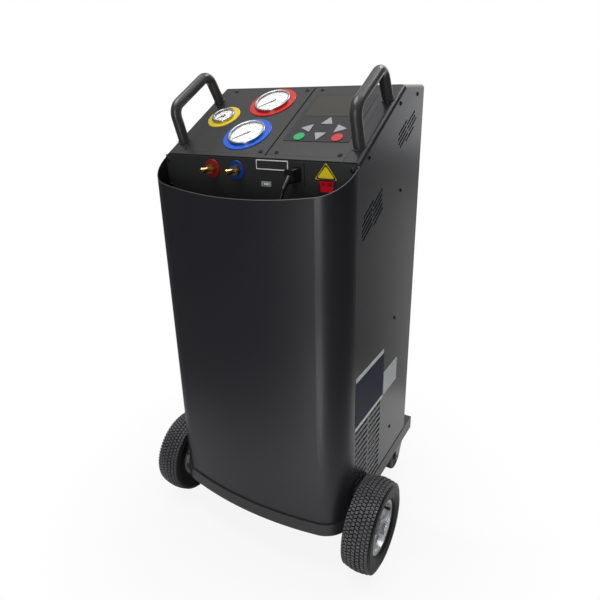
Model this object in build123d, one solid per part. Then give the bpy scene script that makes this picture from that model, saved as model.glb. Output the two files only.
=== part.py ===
"""Air conditioning recharge station: a sheet steel cabinet on two large wheels and two casters.

The sloping console holds three gauges, a display and six keys. Below its front lip a connection
panel with two service ports stands behind the bowed front cover, whose rim leaves a pocket for
the mains lead. X runs across the cabinet, the front faces -Y and Z points up. Every piece is
laid out with y = 0 at the console's front lip and moved to the middle of the depth when saved.
"""
import os
from math import atan2, cos, degrees, pi, radians, sin, sqrt, tan

from build123d import *

# Cabinet
cabinet_width = 440.0
cabinet_depth = 325.0        # from the front lip to the back
top_height = 1004.0
console_rise = 123.0         # flat top above the front lip
ridge_setback = 212.0        # where the sloping console meets the flat top
panel_bottom = 144.0         # lower edge of the side panels
sheet = 1.6
bend_radius = 9.0            # soft bend between the console strips and the side panels
strip_width = 31.0           # console border that belongs to each side panel
lip_strip = 9.7              # console border along the lip
seam = 0.4                   # gap round panels that drop into an opening
back_edge = 18.0             # back panel's edge inside the sheets round it

# Bowed front cover
front_reach = 87.0           # crest of the bow in front of the lip
bow_radius = 815.0
corner_radius = 64.0
cover_bottom = 133.0
rim_drop = 6.0               # slanting rim below the lip where the two meet
rim_angle = 33.2
cover_flange = 18.0

# Base
rail_bottom = 103.0
rail_top = 138.0
rail_wall = 3.0
skirt_proud = 3.0
floor_level = 118.0          # underside of the tray floor
upstand_top = 152.0
upstand_wall = 2.0
platform_end = 385.0         # rear edge of the platform behind the cabinet

# Front wheels
wheel_radius = 101.5
tyre_width = 66.0
rim_radius = 56.0
rim_width = 50.0
rim_flange_wall = 1.4
rim_flange = 3.5
wheel_gap = 5.0              # side panel to tyre
wheel_setback = 17.0         # axle behind the lip
axle_radius = 8.0
running_fit = 0.05
hub_radius = 19.0
bearing_radius = 16.0
bearing_width = 10.0
hub_length = 48.0
nut_flats = 24.0
nut_height = 9.0
tread_groove = 2.6
bracket_width = 12.0

# Rear casters
caster_x = 188.0
caster_setback = 350.0       # swivel axis behind the lip
caster_trail = 22.0
caster_radius = 37.5
caster_wheel_width = 26.0
caster_plate = 3.0
caster_plate_size = 58.0
race_radius = 21.0
race_height = 9.0
fork_wall = 3.0
fork_gap = 1.5
caster_pin_radius = 4.0

# Handles
handle_x = 202.0
handle_radius = 11.0
handle_rise = 67.5           # grip centre above the console
handle_bend = 24.0
handle_front = 43.0          # feet, measured up the slope from the lip
handle_rear = 192.0
handle_lean = 15.0
handle_foot_radius = 13.0
handle_foot = 2.0

# Gauges, as (name, x, distance up the slope, bezel radius, ring radius)
gauges = [
    ("high", -54.0, 185.0, 39.0, 51.5),
    ("low", -54.0, 71.0, 39.0, 51.5),
    ("tank", -150.0, 130.0, 25.0, 37.0),
]
gauge_ring = 2.0
gauge_rise = 7.5             # bezel above the console
gauge_wall = 2.2
gauge_depth = 30.0
dial_level = 2.2
dial_thickness = 0.8
needle_gap = 0.8
needle_thickness = 0.8
needle_shaft = 1.4
lens_thickness = 1.4

# Console panels
divider_x = 24.0
ledge = 10.0
ledge_tab = 8.0
frame_fold = 34.0            # how far the frame's folded edges reach down
frame_front_drop = 9.0       # lower edge of the frame behind the lip
panel_end = 239.5            # rear edge of both console panels, up the slope

# Display and keys
overlay_left = 38.0
overlay_right = 176.0
overlay_front = 54.0
overlay_rear = 212.0
overlay_thickness = 0.8
keypad_x = 109.0
keypad_s = 94.0
key_reach = 26.0             # middle of the keypad to the base of the left and right keys
key_step = 14.0              # middle of the keypad to the base of the up and down keys
key_base = 25.0
key_tall = 23.0
key_proud = 1.2
key_travel = 0.8
key_clearance = 0.3
key_flange = 1.6
round_key_radius = 11.0
round_key_x = 40.0
round_key_s = 67.0
key_depth = 7.0
board_level = 16.0           # board below the console surface
board_thickness = 1.6
display_left = 45.0
display_right = 152.0
display_front = 133.0
display_rear = 208.0

# Connection panel and pocket
panel_face = 6.0             # panel front, ahead of the lip
panel_thickness = 3.0
pocket_depth = 181.0         # pocket floor below the lip
pocket_lip = 14.0
port_drop = 25.0             # ports and power inlet below the lip
port_spacing = 60.0
port_x = -64.0               # middle of the two ports
port_thread_radius = 5.55
port_thread_length = 13.0
port_hex = 17.0
port_hex_height = 8.0
port_neck_radius = 4.6
port_neck_length = 10.0
washer_radius = 18.0
washer_thickness = 2.0
switch_x = 161.0
switch_drop = 43.0
switch_width = 31.0
switch_tall = 25.6
rocker_width = 26.4
rocker_tall = 20.6
rocker_clearance = 0.4
rocker_angle = 9.0
inlet_x = 102.0
inlet_width = 28.0
inlet_tall = 50.0
socket_width = 17.6
socket_tall = 25.4
socket_depth = 17.0
usb_x = 33.0
usb_drop = 47.0
usb_width = 14.6
usb_tall = 7.6
usb_frame_width = 22.0
usb_frame_tall = 9.6

# Mains lead
lead_diameter = 7.0
connector_width = 16.8
connector_tall = 24.6
coil_radius = 35.0           # middle of the windings
coil_layers = 2
coil_rows = 4
coil_x = 22.0
coil_y = -44.0
plug_radius = 18.0
plug_length = 40.0
plug_x = -92.0

# Vents in the side panels
slot_pitch = 14.5
slot_rows = 13
slot_tall = 6.5
slot_first = 155.0
slot_columns = [(5.0, 69.0), (75.5, 141.5)]
vent_slot = 50.0
vent_slot_tall = 4.4
vent_pitch = 10.0

# Bulkhead and shelves inside the cabinet
bulkhead_y = 199.0
bulkhead_wall = 2.0
bulkhead_flange = 16.0
shelf_gap = 46.0             # clear space between a shelf and what stands below it

# Working parts
cylinder_x = -94.0
cylinder_y = 62.0
cylinder_radius = 105.0
cylinder_height = 384.0
scale_height = 38.0
condenser_depth = 22.0
condenser_height = 235.0
compressor_radius = 74.0
compressor_height = 174.0
pump_radius = 48.0
drier_radius = 35.0
drier_length = 168.0
supply_width = 160.0
supply_depth = 40.0
supply_height = 98.0

# Screws
screw_radius = 2.5
screw_head_radius = 4.6
screw_head = 2.2
screw_length = 9.0
screw_clearance = 0.25

half_width = cabinet_width / 2
lip_height = top_height - console_rise
rim_height = lip_height - rim_drop
frame_front = lip_height - frame_front_drop
pocket_floor = lip_height - pocket_depth
port_height = lip_height - port_drop
inlet_height = port_height
switch_height = lip_height - switch_drop
usb_height = lip_height - usb_drop
slope = atan2(console_rise, ridge_setback)
tray_top = floor_level + rail_wall
bulkhead_top = lip_height - 1
right_shelf = tray_top + condenser_height + shelf_gap
left_shelf = tray_top + scale_height + cylinder_height + shelf_gap + 3
strip_edge = half_width - strip_width
wheel_inner = half_width + wheel_gap
wheel_middle = wheel_inner + tyre_width / 2
lip_y = -(platform_end - front_reach - skirt_proud) / 2
console = Location(Plane(origin=(0, 0, lip_height), x_dir=(1, 0, 0), z_dir=(0, -sin(slope), cos(slope))))


def save(name, *pieces):
    """write one node, moved so that the origin is under the middle of the object"""
    solids = []
    for piece in pieces:
        solids.extend(solid.moved(Location((0, lip_y, 0))) for solid in piece.solids())
    export_step(solids[0] if len(solids) == 1 else Compound(solids), "parts/" + name + ".step")


def block(x0, x1, y0, y1, z0, z1):
    """a box between two corners"""
    return Pos((x0 + x1) / 2, (y0 + y1) / 2, (z0 + z1) / 2) * Box(x1 - x0, y1 - y0, z1 - z0)


def rod(radius, start, end):
    """a round bar from one point to another"""
    a = Vector(*start)
    axis = Vector(*end) - a
    return extrude(Plane(origin=a, z_dir=axis) * Circle(radius), axis.length)


def prism_x(points, x0, x1):
    """a (y, z) outline extruded across the cabinet"""
    wire = Polyline(*[(x0, y, z) for y, z in points], close=True)
    return extrude(make_face(wire), x1 - x0, dir=(1, 0, 0))


def spin_x(profile, x, y, z, side=1):
    """an (axial, radius) outline turned about an X axis through (y, z)"""
    wire = Polyline(*[(x + side * a, r, 0) for a, r in profile], close=True)
    return Pos(0, y, z) * revolve(make_face(wire), Axis.X)


def front_plan(inset, back):
    """plan of the bowed front, inset by a wall, closed by a straight line at the back"""
    middle = bow_radius - front_reach
    radius = bow_radius - inset
    w = half_width - inset
    side_y = middle - sqrt(radius ** 2 - w ** 2)
    bow = ThreePointArc((-w, side_y), (0, middle - radius), (w, side_y))
    sides = Polyline((w, side_y), (w, back), (-w, back), (-w, side_y))
    face = make_face([bow, *sides.edges()])
    corners = face.vertices().sort_by(Axis.Y)[:2]
    return fillet(corners, corner_radius - inset)


def plan_wall(inset, wall, back, z0, z1):
    """an upright wall along the bowed front and the sides, open at the back"""
    outer = extrude(front_plan(inset, back), z1 - z0)
    inner = extrude(front_plan(inset + wall, back + 20), z1 - z0)
    return Pos(0, 0, z0) * (outer - inner)


def hull(inset):
    """the cabinet behind the lip as one block, inset by a wall"""
    lip = inset * (1 - sin(slope)) / cos(slope)
    ridge = inset * tan(slope / 2)
    points = [
        (inset, panel_bottom + inset), (inset, lip_height - lip),
        (ridge_setback + ridge, top_height - inset), (cabinet_depth - inset, top_height - inset),
        (cabinet_depth - inset, panel_bottom + inset),
    ]
    w = half_width - inset
    body = prism_x(points, -w, w)
    tops = body.edges().filter_by(lambda e: abs(abs(e.center().X) - w) < 0.01 and e.center().Z > lip_height + 5)
    return fillet(tops, bend_radius - inset)


def mirrored(shape):
    return mirror(shape, about=Plane.YZ)


def slope_block(x0, x1, s0, s1, h0, h1):
    """a box in console coordinates: across, up the slope, out of the surface"""
    return console * block(x0, x1, s0, s1, h0, h1)


# Screw places: console (x, s), sides (y, z), connection panel and back (x, z)
console_screws = [(-176.0, 17.5), (9.0, 17.5), (-176.0, 230.0), (9.0, 230.0),
                  (45.0, 17.5), (176.0, 17.5), (45.0, 230.0), (176.0, 230.0)]
side_screws = [(285.0, top_height - 19), (187.0, top_height - 34), (210.0, lip_height - 81), (42.0, lip_height + 4),
               (210.0, (lip_height + panel_bottom) / 2 - 1.5), (210.0, panel_bottom + 74)]
front_screws = [(x, lip_height - drop) for x in (10 - half_width, half_width - 10) for drop in (13.0, 65.0)]
back_left = half_width - back_edge
back_bottom = panel_bottom + 16
back_top = top_height - 14
back_screws = [(x, back_bottom + 20 + i * (back_top - back_bottom - 40) / 3)
               for x in (8 - back_left, back_left - 8) for i in range(4)]


def screw_hole(depth=12.0):
    return Cylinder(screw_radius + screw_clearance, 2 * depth)


def screw():
    """a pan head screw with its head on z = 0 and its shank pointing down"""
    head = extrude(Circle(screw_head_radius), screw_head)
    head = chamfer(head.edges().sort_by(Axis.Z)[-1], screw_head * 0.35)
    return head + Pos(0, 0, -screw_length / 2) * Cylinder(screw_radius, screw_length)


def side_places():
    places = [Pos(half_width, y, z) * Rot(0, 90, 0) for y, z in side_screws]
    return places + [Pos(-half_width, y, z) * Rot(0, -90, 0) for y, z in side_screws]


def screw_places():
    """a location for every screw, its Z axis out of the sheet"""
    places = [console * Pos(x, s, 0) for x, s in console_screws] + side_places()
    places += [Pos(x, -panel_face, z) * Rot(90, 0, 0) for x, z in front_screws]
    places += [Pos(x, cabinet_depth + sheet, z) * Rot(-90, 0, 0) for x, z in back_screws]
    return places


def drill(shape, places):
    for place in places:
        shape -= place * screw_hole()
    return shape


# Base: a tray with a floor, side rails, a bowed skirt and a box platform at the back
def base_tray():
    wall_front = plan_wall(0, rail_wall, 0, rail_bottom, cover_bottom)
    skirt = plan_wall(-skirt_proud, skirt_proud, 0, rail_bottom, cover_bottom)
    tray = wall_front + skirt
    for side in (-1, 1):
        x = side * (half_width - rail_wall / 2)
        rail = Pos(x, platform_end / 2, (rail_bottom + rail_top) / 2)
        tray += rail * Box(rail_wall, platform_end, rail_top - rail_bottom)
    w = half_width
    tray += Pos(0, 0, floor_level) * extrude(front_plan(1.0, cabinet_depth), rail_wall)
    for z in (rail_bottom, rail_top - rail_wall):
        tray += block(-w, w, cabinet_depth - rail_wall, platform_end, z, z + rail_wall)
    for y in (cabinet_depth - rail_wall, platform_end - rail_wall):
        tray += block(-w, w, y, y + rail_wall, rail_bottom, rail_top)
    back = cabinet_depth - sheet
    rim = extrude(front_plan(sheet, back), upstand_top - floor_level)
    rim -= extrude(front_plan(sheet + upstand_wall, back - upstand_wall), upstand_top - floor_level)
    tray += Pos(0, 0, floor_level) * rim
    for side in (-1, 1):
        x = side * (half_width - 12)
        bracket = block(x - bracket_width / 2, x + bracket_width / 2, wheel_setback - 18, wheel_setback + 18,
                        wheel_radius, floor_level)
        bracket += rod(18, (x - bracket_width / 2, wheel_setback, wheel_radius),
                       (x + bracket_width / 2, wheel_setback, wheel_radius))
        tray += bracket
    for side in (-1, 1):
        tray -= rod(axle_radius + 4, (side * w, wheel_setback, wheel_radius), (side * (w - rail_wall), wheel_setback,
                                                                               wheel_radius))
    bore = axle_radius + running_fit
    return tray - rod(bore, (-w - 20, wheel_setback, wheel_radius), (w + 20, wheel_setback, wheel_radius))


# Front wheels: a ribbed tyre on a pressed steel rim that turns on ball bearings
def tyre_profile():
    """half of the section is mirrored, so the ribs and shoulders stay symmetrical"""
    w = tyre_width / 2
    r = wheel_radius
    half = [
        (2.0, r), (2.0, r - tread_groove), (5.0, r - tread_groove), (5.0, r - 0.2), (13.0, r - 1.0),
        (13.0, r - 1.0 - tread_groove), (16.0, r - 1.2 - tread_groove), (16.0, r - 1.4), (w - 8, r - 4.0),
        (w - 2.5, r - 11.0), (w, r - 22.0), (w - 0.8, r - 33.0), (rim_width / 2 + 1.0, rim_radius + 5.0),
        (rim_width / 2 - rim_flange_wall - 0.1, rim_radius + 4.2), (rim_width / 2 - rim_flange_wall - 0.1, rim_radius),
    ]
    return [(-a, b) for a, b in reversed(half)] + half


def tyre(side):
    return spin_x(tyre_profile(), side * wheel_middle, wheel_setback, wheel_radius, side)


def rim(side):
    """two pressed halves with a dished disc, welded to a hub tube; bearings sit in the tube"""
    half = rim_width / 2
    bed = rim_radius - 0.3
    dish = hub_length / 2 - 10
    outer = [
        (-half, bed - 3.2), (-half, bed + rim_flange), (-half + rim_flange_wall, bed + rim_flange),
        (-half + rim_flange_wall, bed), (half - rim_flange_wall, bed),
        (half - rim_flange_wall, bed + rim_flange), (half, bed + rim_flange), (half, bed - 3.2),
        (half - 5, bed - 4.4), (half - 12, bed - 6.0),
        (half - 17, bed - 14.0), (dish, hub_radius + 9.0), (dish + 3, hub_radius), (dish, hub_radius),
        (dish - 3, hub_radius + 9.0), (half - 20, bed - 14.0), (0, bed - 9.0), (-half + 8, bed - 4.4),
    ]
    place = (side * wheel_middle, wheel_setback, wheel_radius, side)
    bolt_circle = (rim_radius + hub_radius) / 2
    hub = spin_x([(-hub_length / 2, bearing_radius), (-hub_length / 2, hub_radius),
                  (hub_length / 2, hub_radius), (hub_length / 2, bearing_radius)], *place)
    disc = spin_x(outer, *place) + hub
    for i in range(4):
        a = pi / 4 + i * pi / 2
        y = wheel_setback + bolt_circle * cos(a)
        z = wheel_radius + bolt_circle * sin(a)
        disc -= rod(5.0, (side * (wheel_middle - 30), y, z), (side * (wheel_middle + 30), y, z))
    bore = axle_radius + running_fit
    bearings = []
    for a in (-hub_length / 2, hub_length / 2 - bearing_width):
        bearings.append(spin_x([(a, bore), (a, bearing_radius), (a + bearing_width, bearing_radius),
                                (a + bearing_width, bore)], *place))
    return [disc, *bearings]


def axle_set():
    """one steel bar through the brackets, with spacers inside and a nut outside each wheel"""
    hub_in = wheel_middle - hub_length / 2
    hub_out = wheel_middle + hub_length / 2
    end = hub_out + 0.3 + nut_height + 2.0
    pieces = [rod(axle_radius, (-end, wheel_setback, wheel_radius), (end, wheel_setback, wheel_radius))]
    for side in (-1, 1):
        nut = Plane(origin=(side * (hub_out + 0.3), wheel_setback, wheel_radius), z_dir=(side, 0, 0))
        outline = RegularPolygon(nut_flats / 2, 6, major_radius=False) - Circle(axle_radius)
        pieces.append(extrude(nut * outline, nut_height))
        inner = Plane(origin=(side * half_width, wheel_setback, wheel_radius), z_dir=(side, 0, 0))
        pieces.append(extrude(inner * (Circle(axle_radius + 3) - Circle(axle_radius)), hub_in - half_width - 0.3))
    return pieces


# Rear casters: a bolted plate, a swivelling fork and a wheel on a pin
def caster_plates():
    pieces = []
    for side in (-1, 1):
        x = side * caster_x
        half = caster_plate_size / 2
        plate = block(x - half, x + half, caster_setback - half, caster_setback + half,
                      rail_bottom - caster_plate, rail_bottom)
        cup = Pos(x, caster_setback, rail_bottom - caster_plate - race_height / 2)
        plate += cup * Cylinder(race_radius, race_height)
        plate -= Pos(x, caster_setback, rail_bottom - caster_plate - race_height / 2) * Cylinder(8, race_height)
        pieces.append(plate)
    return pieces


def caster_fork(side):
    x = side * caster_x
    y = caster_setback
    wheel_y = y - caster_trail
    top = rail_bottom - caster_plate - race_height - 0.3
    inner = caster_wheel_width / 2 + fork_gap
    outer = inner + fork_wall
    crown = Pos(x, y, top - fork_wall / 2) * Cylinder(race_radius + 1.5, fork_wall)
    crown += block(x - outer, x + outer, wheel_y, y, top - fork_wall, top)
    crown += Pos(x, y, top + race_height / 2) * Cylinder(7.5, race_height)
    for leg in (-1, 1):
        face = x + leg * inner
        outline = [(y + 16, top - fork_wall), (y + 14, top - 18), (wheel_y + 10, caster_radius - 9),
                   (wheel_y - 10, caster_radius - 9), (wheel_y - 14, top - fork_wall - 12), (wheel_y - 8, top - fork_wall)]
        side_plate = prism_x(outline, min(face, face + leg * fork_wall), max(face, face + leg * fork_wall))
        crown += side_plate
    pin_start = (x - outer - 2.5, wheel_y, caster_radius)
    pin_end = (x + outer + 2.5, wheel_y, caster_radius)
    return [crown + rod(caster_pin_radius, pin_start, pin_end)]


def caster_wheel(side):
    w = caster_wheel_width / 2
    r = caster_radius
    bore = caster_pin_radius + running_fit
    profile = [(-w, bore), (-w, 10), (-w + 3, 13), (-w + 3, r - 12), (-w + 1, r - 10), (-w + 1, r - 3),
               (-w + 5, r), (w - 5, r), (w - 1, r - 3), (w - 1, r - 10), (w - 3, r - 12), (w - 3, 13), (w, 10), (w, bore)]
    return spin_x(profile, side * caster_x, caster_setback - caster_trail, caster_radius)


# Cabinet sheets
def front_cover():
    """one bowed sheet, cut along a slanting plane at the top, with return flanges at the back"""
    tall = top_height - cover_bottom
    skin = extrude(front_plan(0, 0), tall) - extrude(front_plan(sheet, 50), tall)
    flanges = extrude(front_plan(sheet / 2, 0), tall) - block(-half_width + cover_flange, half_width - cover_flange,
                                                          -200, 50, 0, tall)
    flanges &= block(-half_width, half_width, -sheet, 0, upstand_top + 1 - cover_bottom, tall)
    cover = Pos(0, 0, cover_bottom) * (skin + flanges)
    slant = radians(rim_angle)
    above = Plane(origin=(0, 0, rim_height), x_dir=(1, 0, 0), z_dir=(0, -sin(slant), cos(slant)))
    cover -= above.location * Pos(0, 0, 200) * Box(600, 600, 400)
    return drill(cover, [Pos(x, 0, z) * Rot(90, 0, 0) for x, z in front_screws])


def vent(centre_y, centre_z, rows):
    """slanting slots, parallel to the console; each row lists where its slots start"""
    slots = []
    pitch = vent_pitch * cos(slope)
    for i, starts in enumerate(rows):
        v = (i - (len(rows) - 1) / 2) * pitch
        for u in starts:
            place = Pos(half_width, centre_y, centre_z) * Rot(degrees(slope), 0, 0)
            slots.append(place * Pos(0, u + vent_slot / 2, v) * Box(20, vent_slot, vent_slot_tall))
    return slots


def side_panel():
    """the right side with its bent console strip, top flange and return flanges"""
    panel = hull(0) - hull(sheet)
    panel &= block(strip_edge, half_width + 1, -10, cabinet_depth + 10, 0, top_height + 10)
    panel -= block(strip_edge - 1, half_width - sheet, -1, cabinet_depth - sheet, panel_bottom - 1, upstand_top + 1)
    for i in range(slot_rows):
        z = slot_first + i * slot_pitch
        for y0, y1 in slot_columns:
            panel -= block(half_width - 10, half_width + 10, y0, y1, z - slot_tall / 2, z + slot_tall / 2)
    for slot in vent(232.0, top_height - 84.5, [[-17.0], [-50.0, 5.0], [-55.0, 0.0], [-53.0, 2.0], [-46.0]]):
        panel -= slot
    for slot in vent(66.0, lip_height - 100, [[-10.0], [-62.0, -7.0], [-60.0, -5.0], [-55.0, 0.0], [-50.0, 5.0], [-38.0]]):
        panel -= slot
    foot = console * Pos(handle_x, 0, 0)
    for s in (handle_front, handle_rear):
        panel -= foot * Pos(0, s, 0) * Cylinder(3.2, 20)
    return drill(panel, screw_places())


def console_frame():
    """lip, flat top and rear edge in one sheet, over a folded frame that the console panels rest on"""
    skin = hull(0) - hull(sheet)
    low = lip_height - frame_fold - 2 * sheet
    skin &= block(-strip_edge + seam, strip_edge - seam, -10, cabinet_depth + 10, low, top_height + 10)
    skin -= slope_block(-half_width, half_width, lip_strip, panel_end + seam, -20, 20)
    skin -= block(-half_width, half_width, cabinet_depth - 20, cabinet_depth + 10, low - 10, back_top - 5)
    folded = hull(sheet) - hull(2 * sheet) - Pos(0, 0, -frame_fold) * hull(sheet)
    opening_front = lip_strip + ledge
    opening_rear = panel_end - ledge
    folded -= slope_block(-strip_edge + ledge, divider_x - ledge, opening_front, opening_rear, -10, 10)
    folded -= slope_block(divider_x + ledge, strip_edge - ledge, opening_front, opening_rear, -10, 10)
    for x, s in console_screws:
        folded += slope_block(x - ledge_tab, x + ledge_tab, s - ledge_tab, s + ledge_tab, -2 * sheet, -sheet)
    frame = skin + folded
    frame -= block(-half_width, half_width, -10, 12, low - 10, frame_front)
    for side in (-1, 1):
        for s in (handle_front, handle_rear):
            frame -= console * Pos(side * handle_x, s, 0) * Cylinder(3.2, 20)
    return drill(frame, screw_places())


def drop_in_panel(x0, x1):
    panel = slope_block(x0, x1, lip_strip + seam, panel_end, -sheet, 0)
    uprights = panel.edges().filter_by(Axis((0, 0, 0), (0, -sin(slope), cos(slope))))
    return fillet(uprights, 3.0)


def gauge_panel():
    panel = drop_in_panel(-strip_edge + seam, divider_x - seam)
    for name, x, s, bezel, ring in gauges:
        panel -= console * Pos(x, s, 0) * Cylinder(bezel - 4, 20)
    return drill(panel, [console * Pos(x, s, 0) for x, s in console_screws])


def key_outline(name):
    """flat outline of a key about its own place"""
    if name in ("start", "stop"):
        return Circle(round_key_radius)
    triangle = Polyline((-key_base / 2, 0), (key_base / 2, 0), (0, key_tall), close=True)
    turn = {"up": 0, "left": 90, "down": 180, "right": 270}[name]
    face = make_face(triangle)
    return Rot(0, 0, turn) * fillet(face.vertices(), 1.2)


key_places = {
    "up": (keypad_x, keypad_s + key_step), "down": (keypad_x, keypad_s - key_step),
    "left": (keypad_x - key_reach, keypad_s), "right": (keypad_x + key_reach, keypad_s),
    "start": (keypad_x - round_key_x, round_key_s), "stop": (keypad_x + round_key_x, round_key_s),
}


def key_shape(name, spread, h0, h1):
    x, s = key_places[name]
    outline = key_outline(name)
    if spread:
        outline = offset(outline, spread)
    return console * Pos(x, s, h0) * extrude(outline, h1 - h0)


def control_panel():
    panel = drop_in_panel(divider_x + seam, strip_edge - seam)
    panel -= slope_block(display_left, display_right, display_front, display_rear, -20, 20)
    for name in key_places:
        panel -= key_shape(name, key_clearance, -20, 20)
    return drill(panel, [console * Pos(x, s, 0) for x, s in console_screws])


def control_overlay():
    """glossy sheet over the display window and round the keys"""
    plate = slope_block(overlay_left, overlay_right, overlay_front, overlay_rear, 0, overlay_thickness)
    plate = fillet(plate.edges().filter_by(Axis((0, 0, 0), (0, -sin(slope), cos(slope)))), 4.0)
    for name in key_places:
        plate -= key_shape(name, key_clearance, -20, 20)
    return plate


def key(name):
    """a cap through the panel with a flange that stops it from below"""
    top = overlay_thickness + key_proud
    cap = key_shape(name, 0, -key_depth, top)
    return cap + key_shape(name, key_flange, -sheet - 0.4 - key_flange, -sheet - 0.4)


def control_board():
    """board on four posts, with the display module and a switch under each key"""
    front = overlay_front + 2
    top = -board_level + board_thickness
    board = slope_block(overlay_left, overlay_right, front, overlay_rear, -board_level, top)
    for x in (overlay_left + 4, overlay_right - 4):
        for s in (front + 4, overlay_rear - 4):
            board += console * Pos(x, s, (top - sheet) / 2) * Cylinder(3, -sheet - top)
    display = slope_block(display_left + 1, display_right - 1, display_front + 1, display_rear - 1, top, -sheet - 0.6)
    switches = []
    for name, (x, s) in key_places.items():
        shift = {"up": (0, 8), "down": (0, -8), "left": (-8, 0), "right": (8, 0)}.get(name, (0, 0))
        gap = key_travel + 0.3
        height = -key_depth - gap - top
        place = console * Pos(x + shift[0], s + shift[1], top + height / 2)
        switches.append(place * Box(6, 6, height))
    return [board, display, *switches]


def back_panel():
    y0 = cabinet_depth
    panel = block(-back_left, back_left, y0, y0 + sheet, back_bottom, back_top)
    for i in range(9):
        for x in (-75, 75):
            z = lip_height - 81 + i * 16
            panel -= block(x - 60, x + 60, y0 - 5, y0 + 5, z, z + 6)
    for i in range(10):
        for x in (-75, 75):
            z = back_bottom + 70 + i * 16
            panel -= block(x - 60, x + 60, y0 - 5, y0 + 5, z, z + 6)
    return drill(panel, [Pos(x, y0 + sheet, z) * Rot(-90, 0, 0) for x, z in back_screws])


def inner_bulkhead():
    """upright sheet behind the working parts, with flanges to both sides and two shelves"""
    reach = half_width - sheet
    y = bulkhead_y
    base = tray_top
    frame = block(-reach, reach, y, y + bulkhead_wall, base, bulkhead_top)
    for side in (-1, 1):
        x0, x1 = sorted((side * (reach - sheet), side * reach))
        frame += block(x0, x1, y, y + bulkhead_flange, base, bulkhead_top)
        x0, x1 = sorted((side * (reach - upstand_wall - 0.3), side * (reach + 1)))
        frame -= block(x0, x1, y - 1, y + bulkhead_flange + 1, base - 1, upstand_top + 1)
    frame += block(56, reach - 3, 12, y, right_shelf - bulkhead_wall, right_shelf)
    frame += block(-reach + 3, 40, 12, y, left_shelf - bulkhead_wall, left_shelf)
    return drill(frame, side_places())


# Handles: a bent tube on each console strip, standing on two welded feet
def handle(side):
    lean = handle_lean
    points = [console * Pos(0, s, h) for s, h in
              [(handle_front, 0), (handle_front + lean, handle_rise), (handle_rear - 1.5, handle_rise), (handle_rear, 0)]]
    points = [Vector(side * handle_x, place.position.Y, place.position.Z) for place in points]
    path = FilletPolyline(*points, radius=handle_bend)
    start = Plane(origin=path @ 0, z_dir=path % 0)
    tube = sweep(start * Circle(handle_radius), path=path)
    low = console * Pos(side * handle_x, (handle_front + handle_rear) / 2, -100)
    tube -= low * Box(60, 400, 200)
    for s in (handle_front, handle_rear):
        foot = console * Pos(side * handle_x, s, 0) * extrude(Circle(handle_foot_radius), handle_foot)
        stud = console * Pos(side * handle_x, s, -4) * Cylinder(3.0, 8)
        tube += foot + stud
    return tube


# Gauges: a steel case with a rolled bezel, a dial, a needle on its shaft and a lens
def gauge_turned(x, s, points):
    """an outline of (radius, height) turned about a gauge's own axis"""
    wire = Polyline(*[(r, 0, h) for r, h in points], close=True)
    return console * Pos(x, s, 0) * revolve(make_face(wire), Axis.Z)


def gauge_case(x, s, bezel):
    cup = bezel - 5.0
    inner = bezel - gauge_wall
    top = gauge_rise
    case = gauge_turned(x, s, [
        (0, -gauge_depth), (cup, -gauge_depth), (cup, 0), (bezel, 0), (bezel, top - 1.5), (bezel - 1.5, top),
        (inner - 1.5, top), (inner - 1.5, top - 1.2), (inner, top - 1.2), (inner, dial_level - dial_thickness),
        (cup - gauge_wall, dial_level - dial_thickness), (cup - gauge_wall, -gauge_depth + gauge_wall),
        (0, -gauge_depth + gauge_wall)])
    stem = console * Pos(x, s, -gauge_depth - 9) * Cylinder(6.5, 18)
    return case + stem


def gauge_dial(x, s, bezel):
    r = bezel - gauge_wall
    shaft_top = dial_level + needle_gap + needle_thickness + 0.6
    return gauge_turned(x, s, [(0, dial_level - dial_thickness), (r, dial_level - dial_thickness), (r, dial_level),
                               (needle_shaft, dial_level), (needle_shaft, shaft_top), (0, shaft_top)])


def gauge_lens(x, s, bezel):
    r = bezel - gauge_wall
    top = gauge_rise - 1.2
    return gauge_turned(x, s, [(0, top - lens_thickness), (r, top - lens_thickness), (r, top), (0, top)])


def gauge_collar(x, s, bezel, ring):
    return gauge_turned(x, s, [(bezel, 0), (ring, 0), (ring, gauge_ring - 0.6), (ring - 0.8, gauge_ring),
                               (bezel, gauge_ring)])


def needle(x, s, bezel):
    """a tapered pointer lying towards the lower left, with a round hub on the gauge's shaft"""
    reach = bezel - gauge_wall - 6.0
    tail = reach * 0.28
    blade = make_face(Polyline((-0.5, reach), (0.5, reach), (1.5, 0), (1.1, -tail), (-1.1, -tail), (-1.5, 0),
                               close=True))
    flat = blade + Circle(needle_shaft + 2.2) - Circle(needle_shaft + running_fit)
    return console * Pos(x, s, dial_level + needle_gap) * Rot(0, 0, 135) * extrude(flat, needle_thickness)


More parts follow.
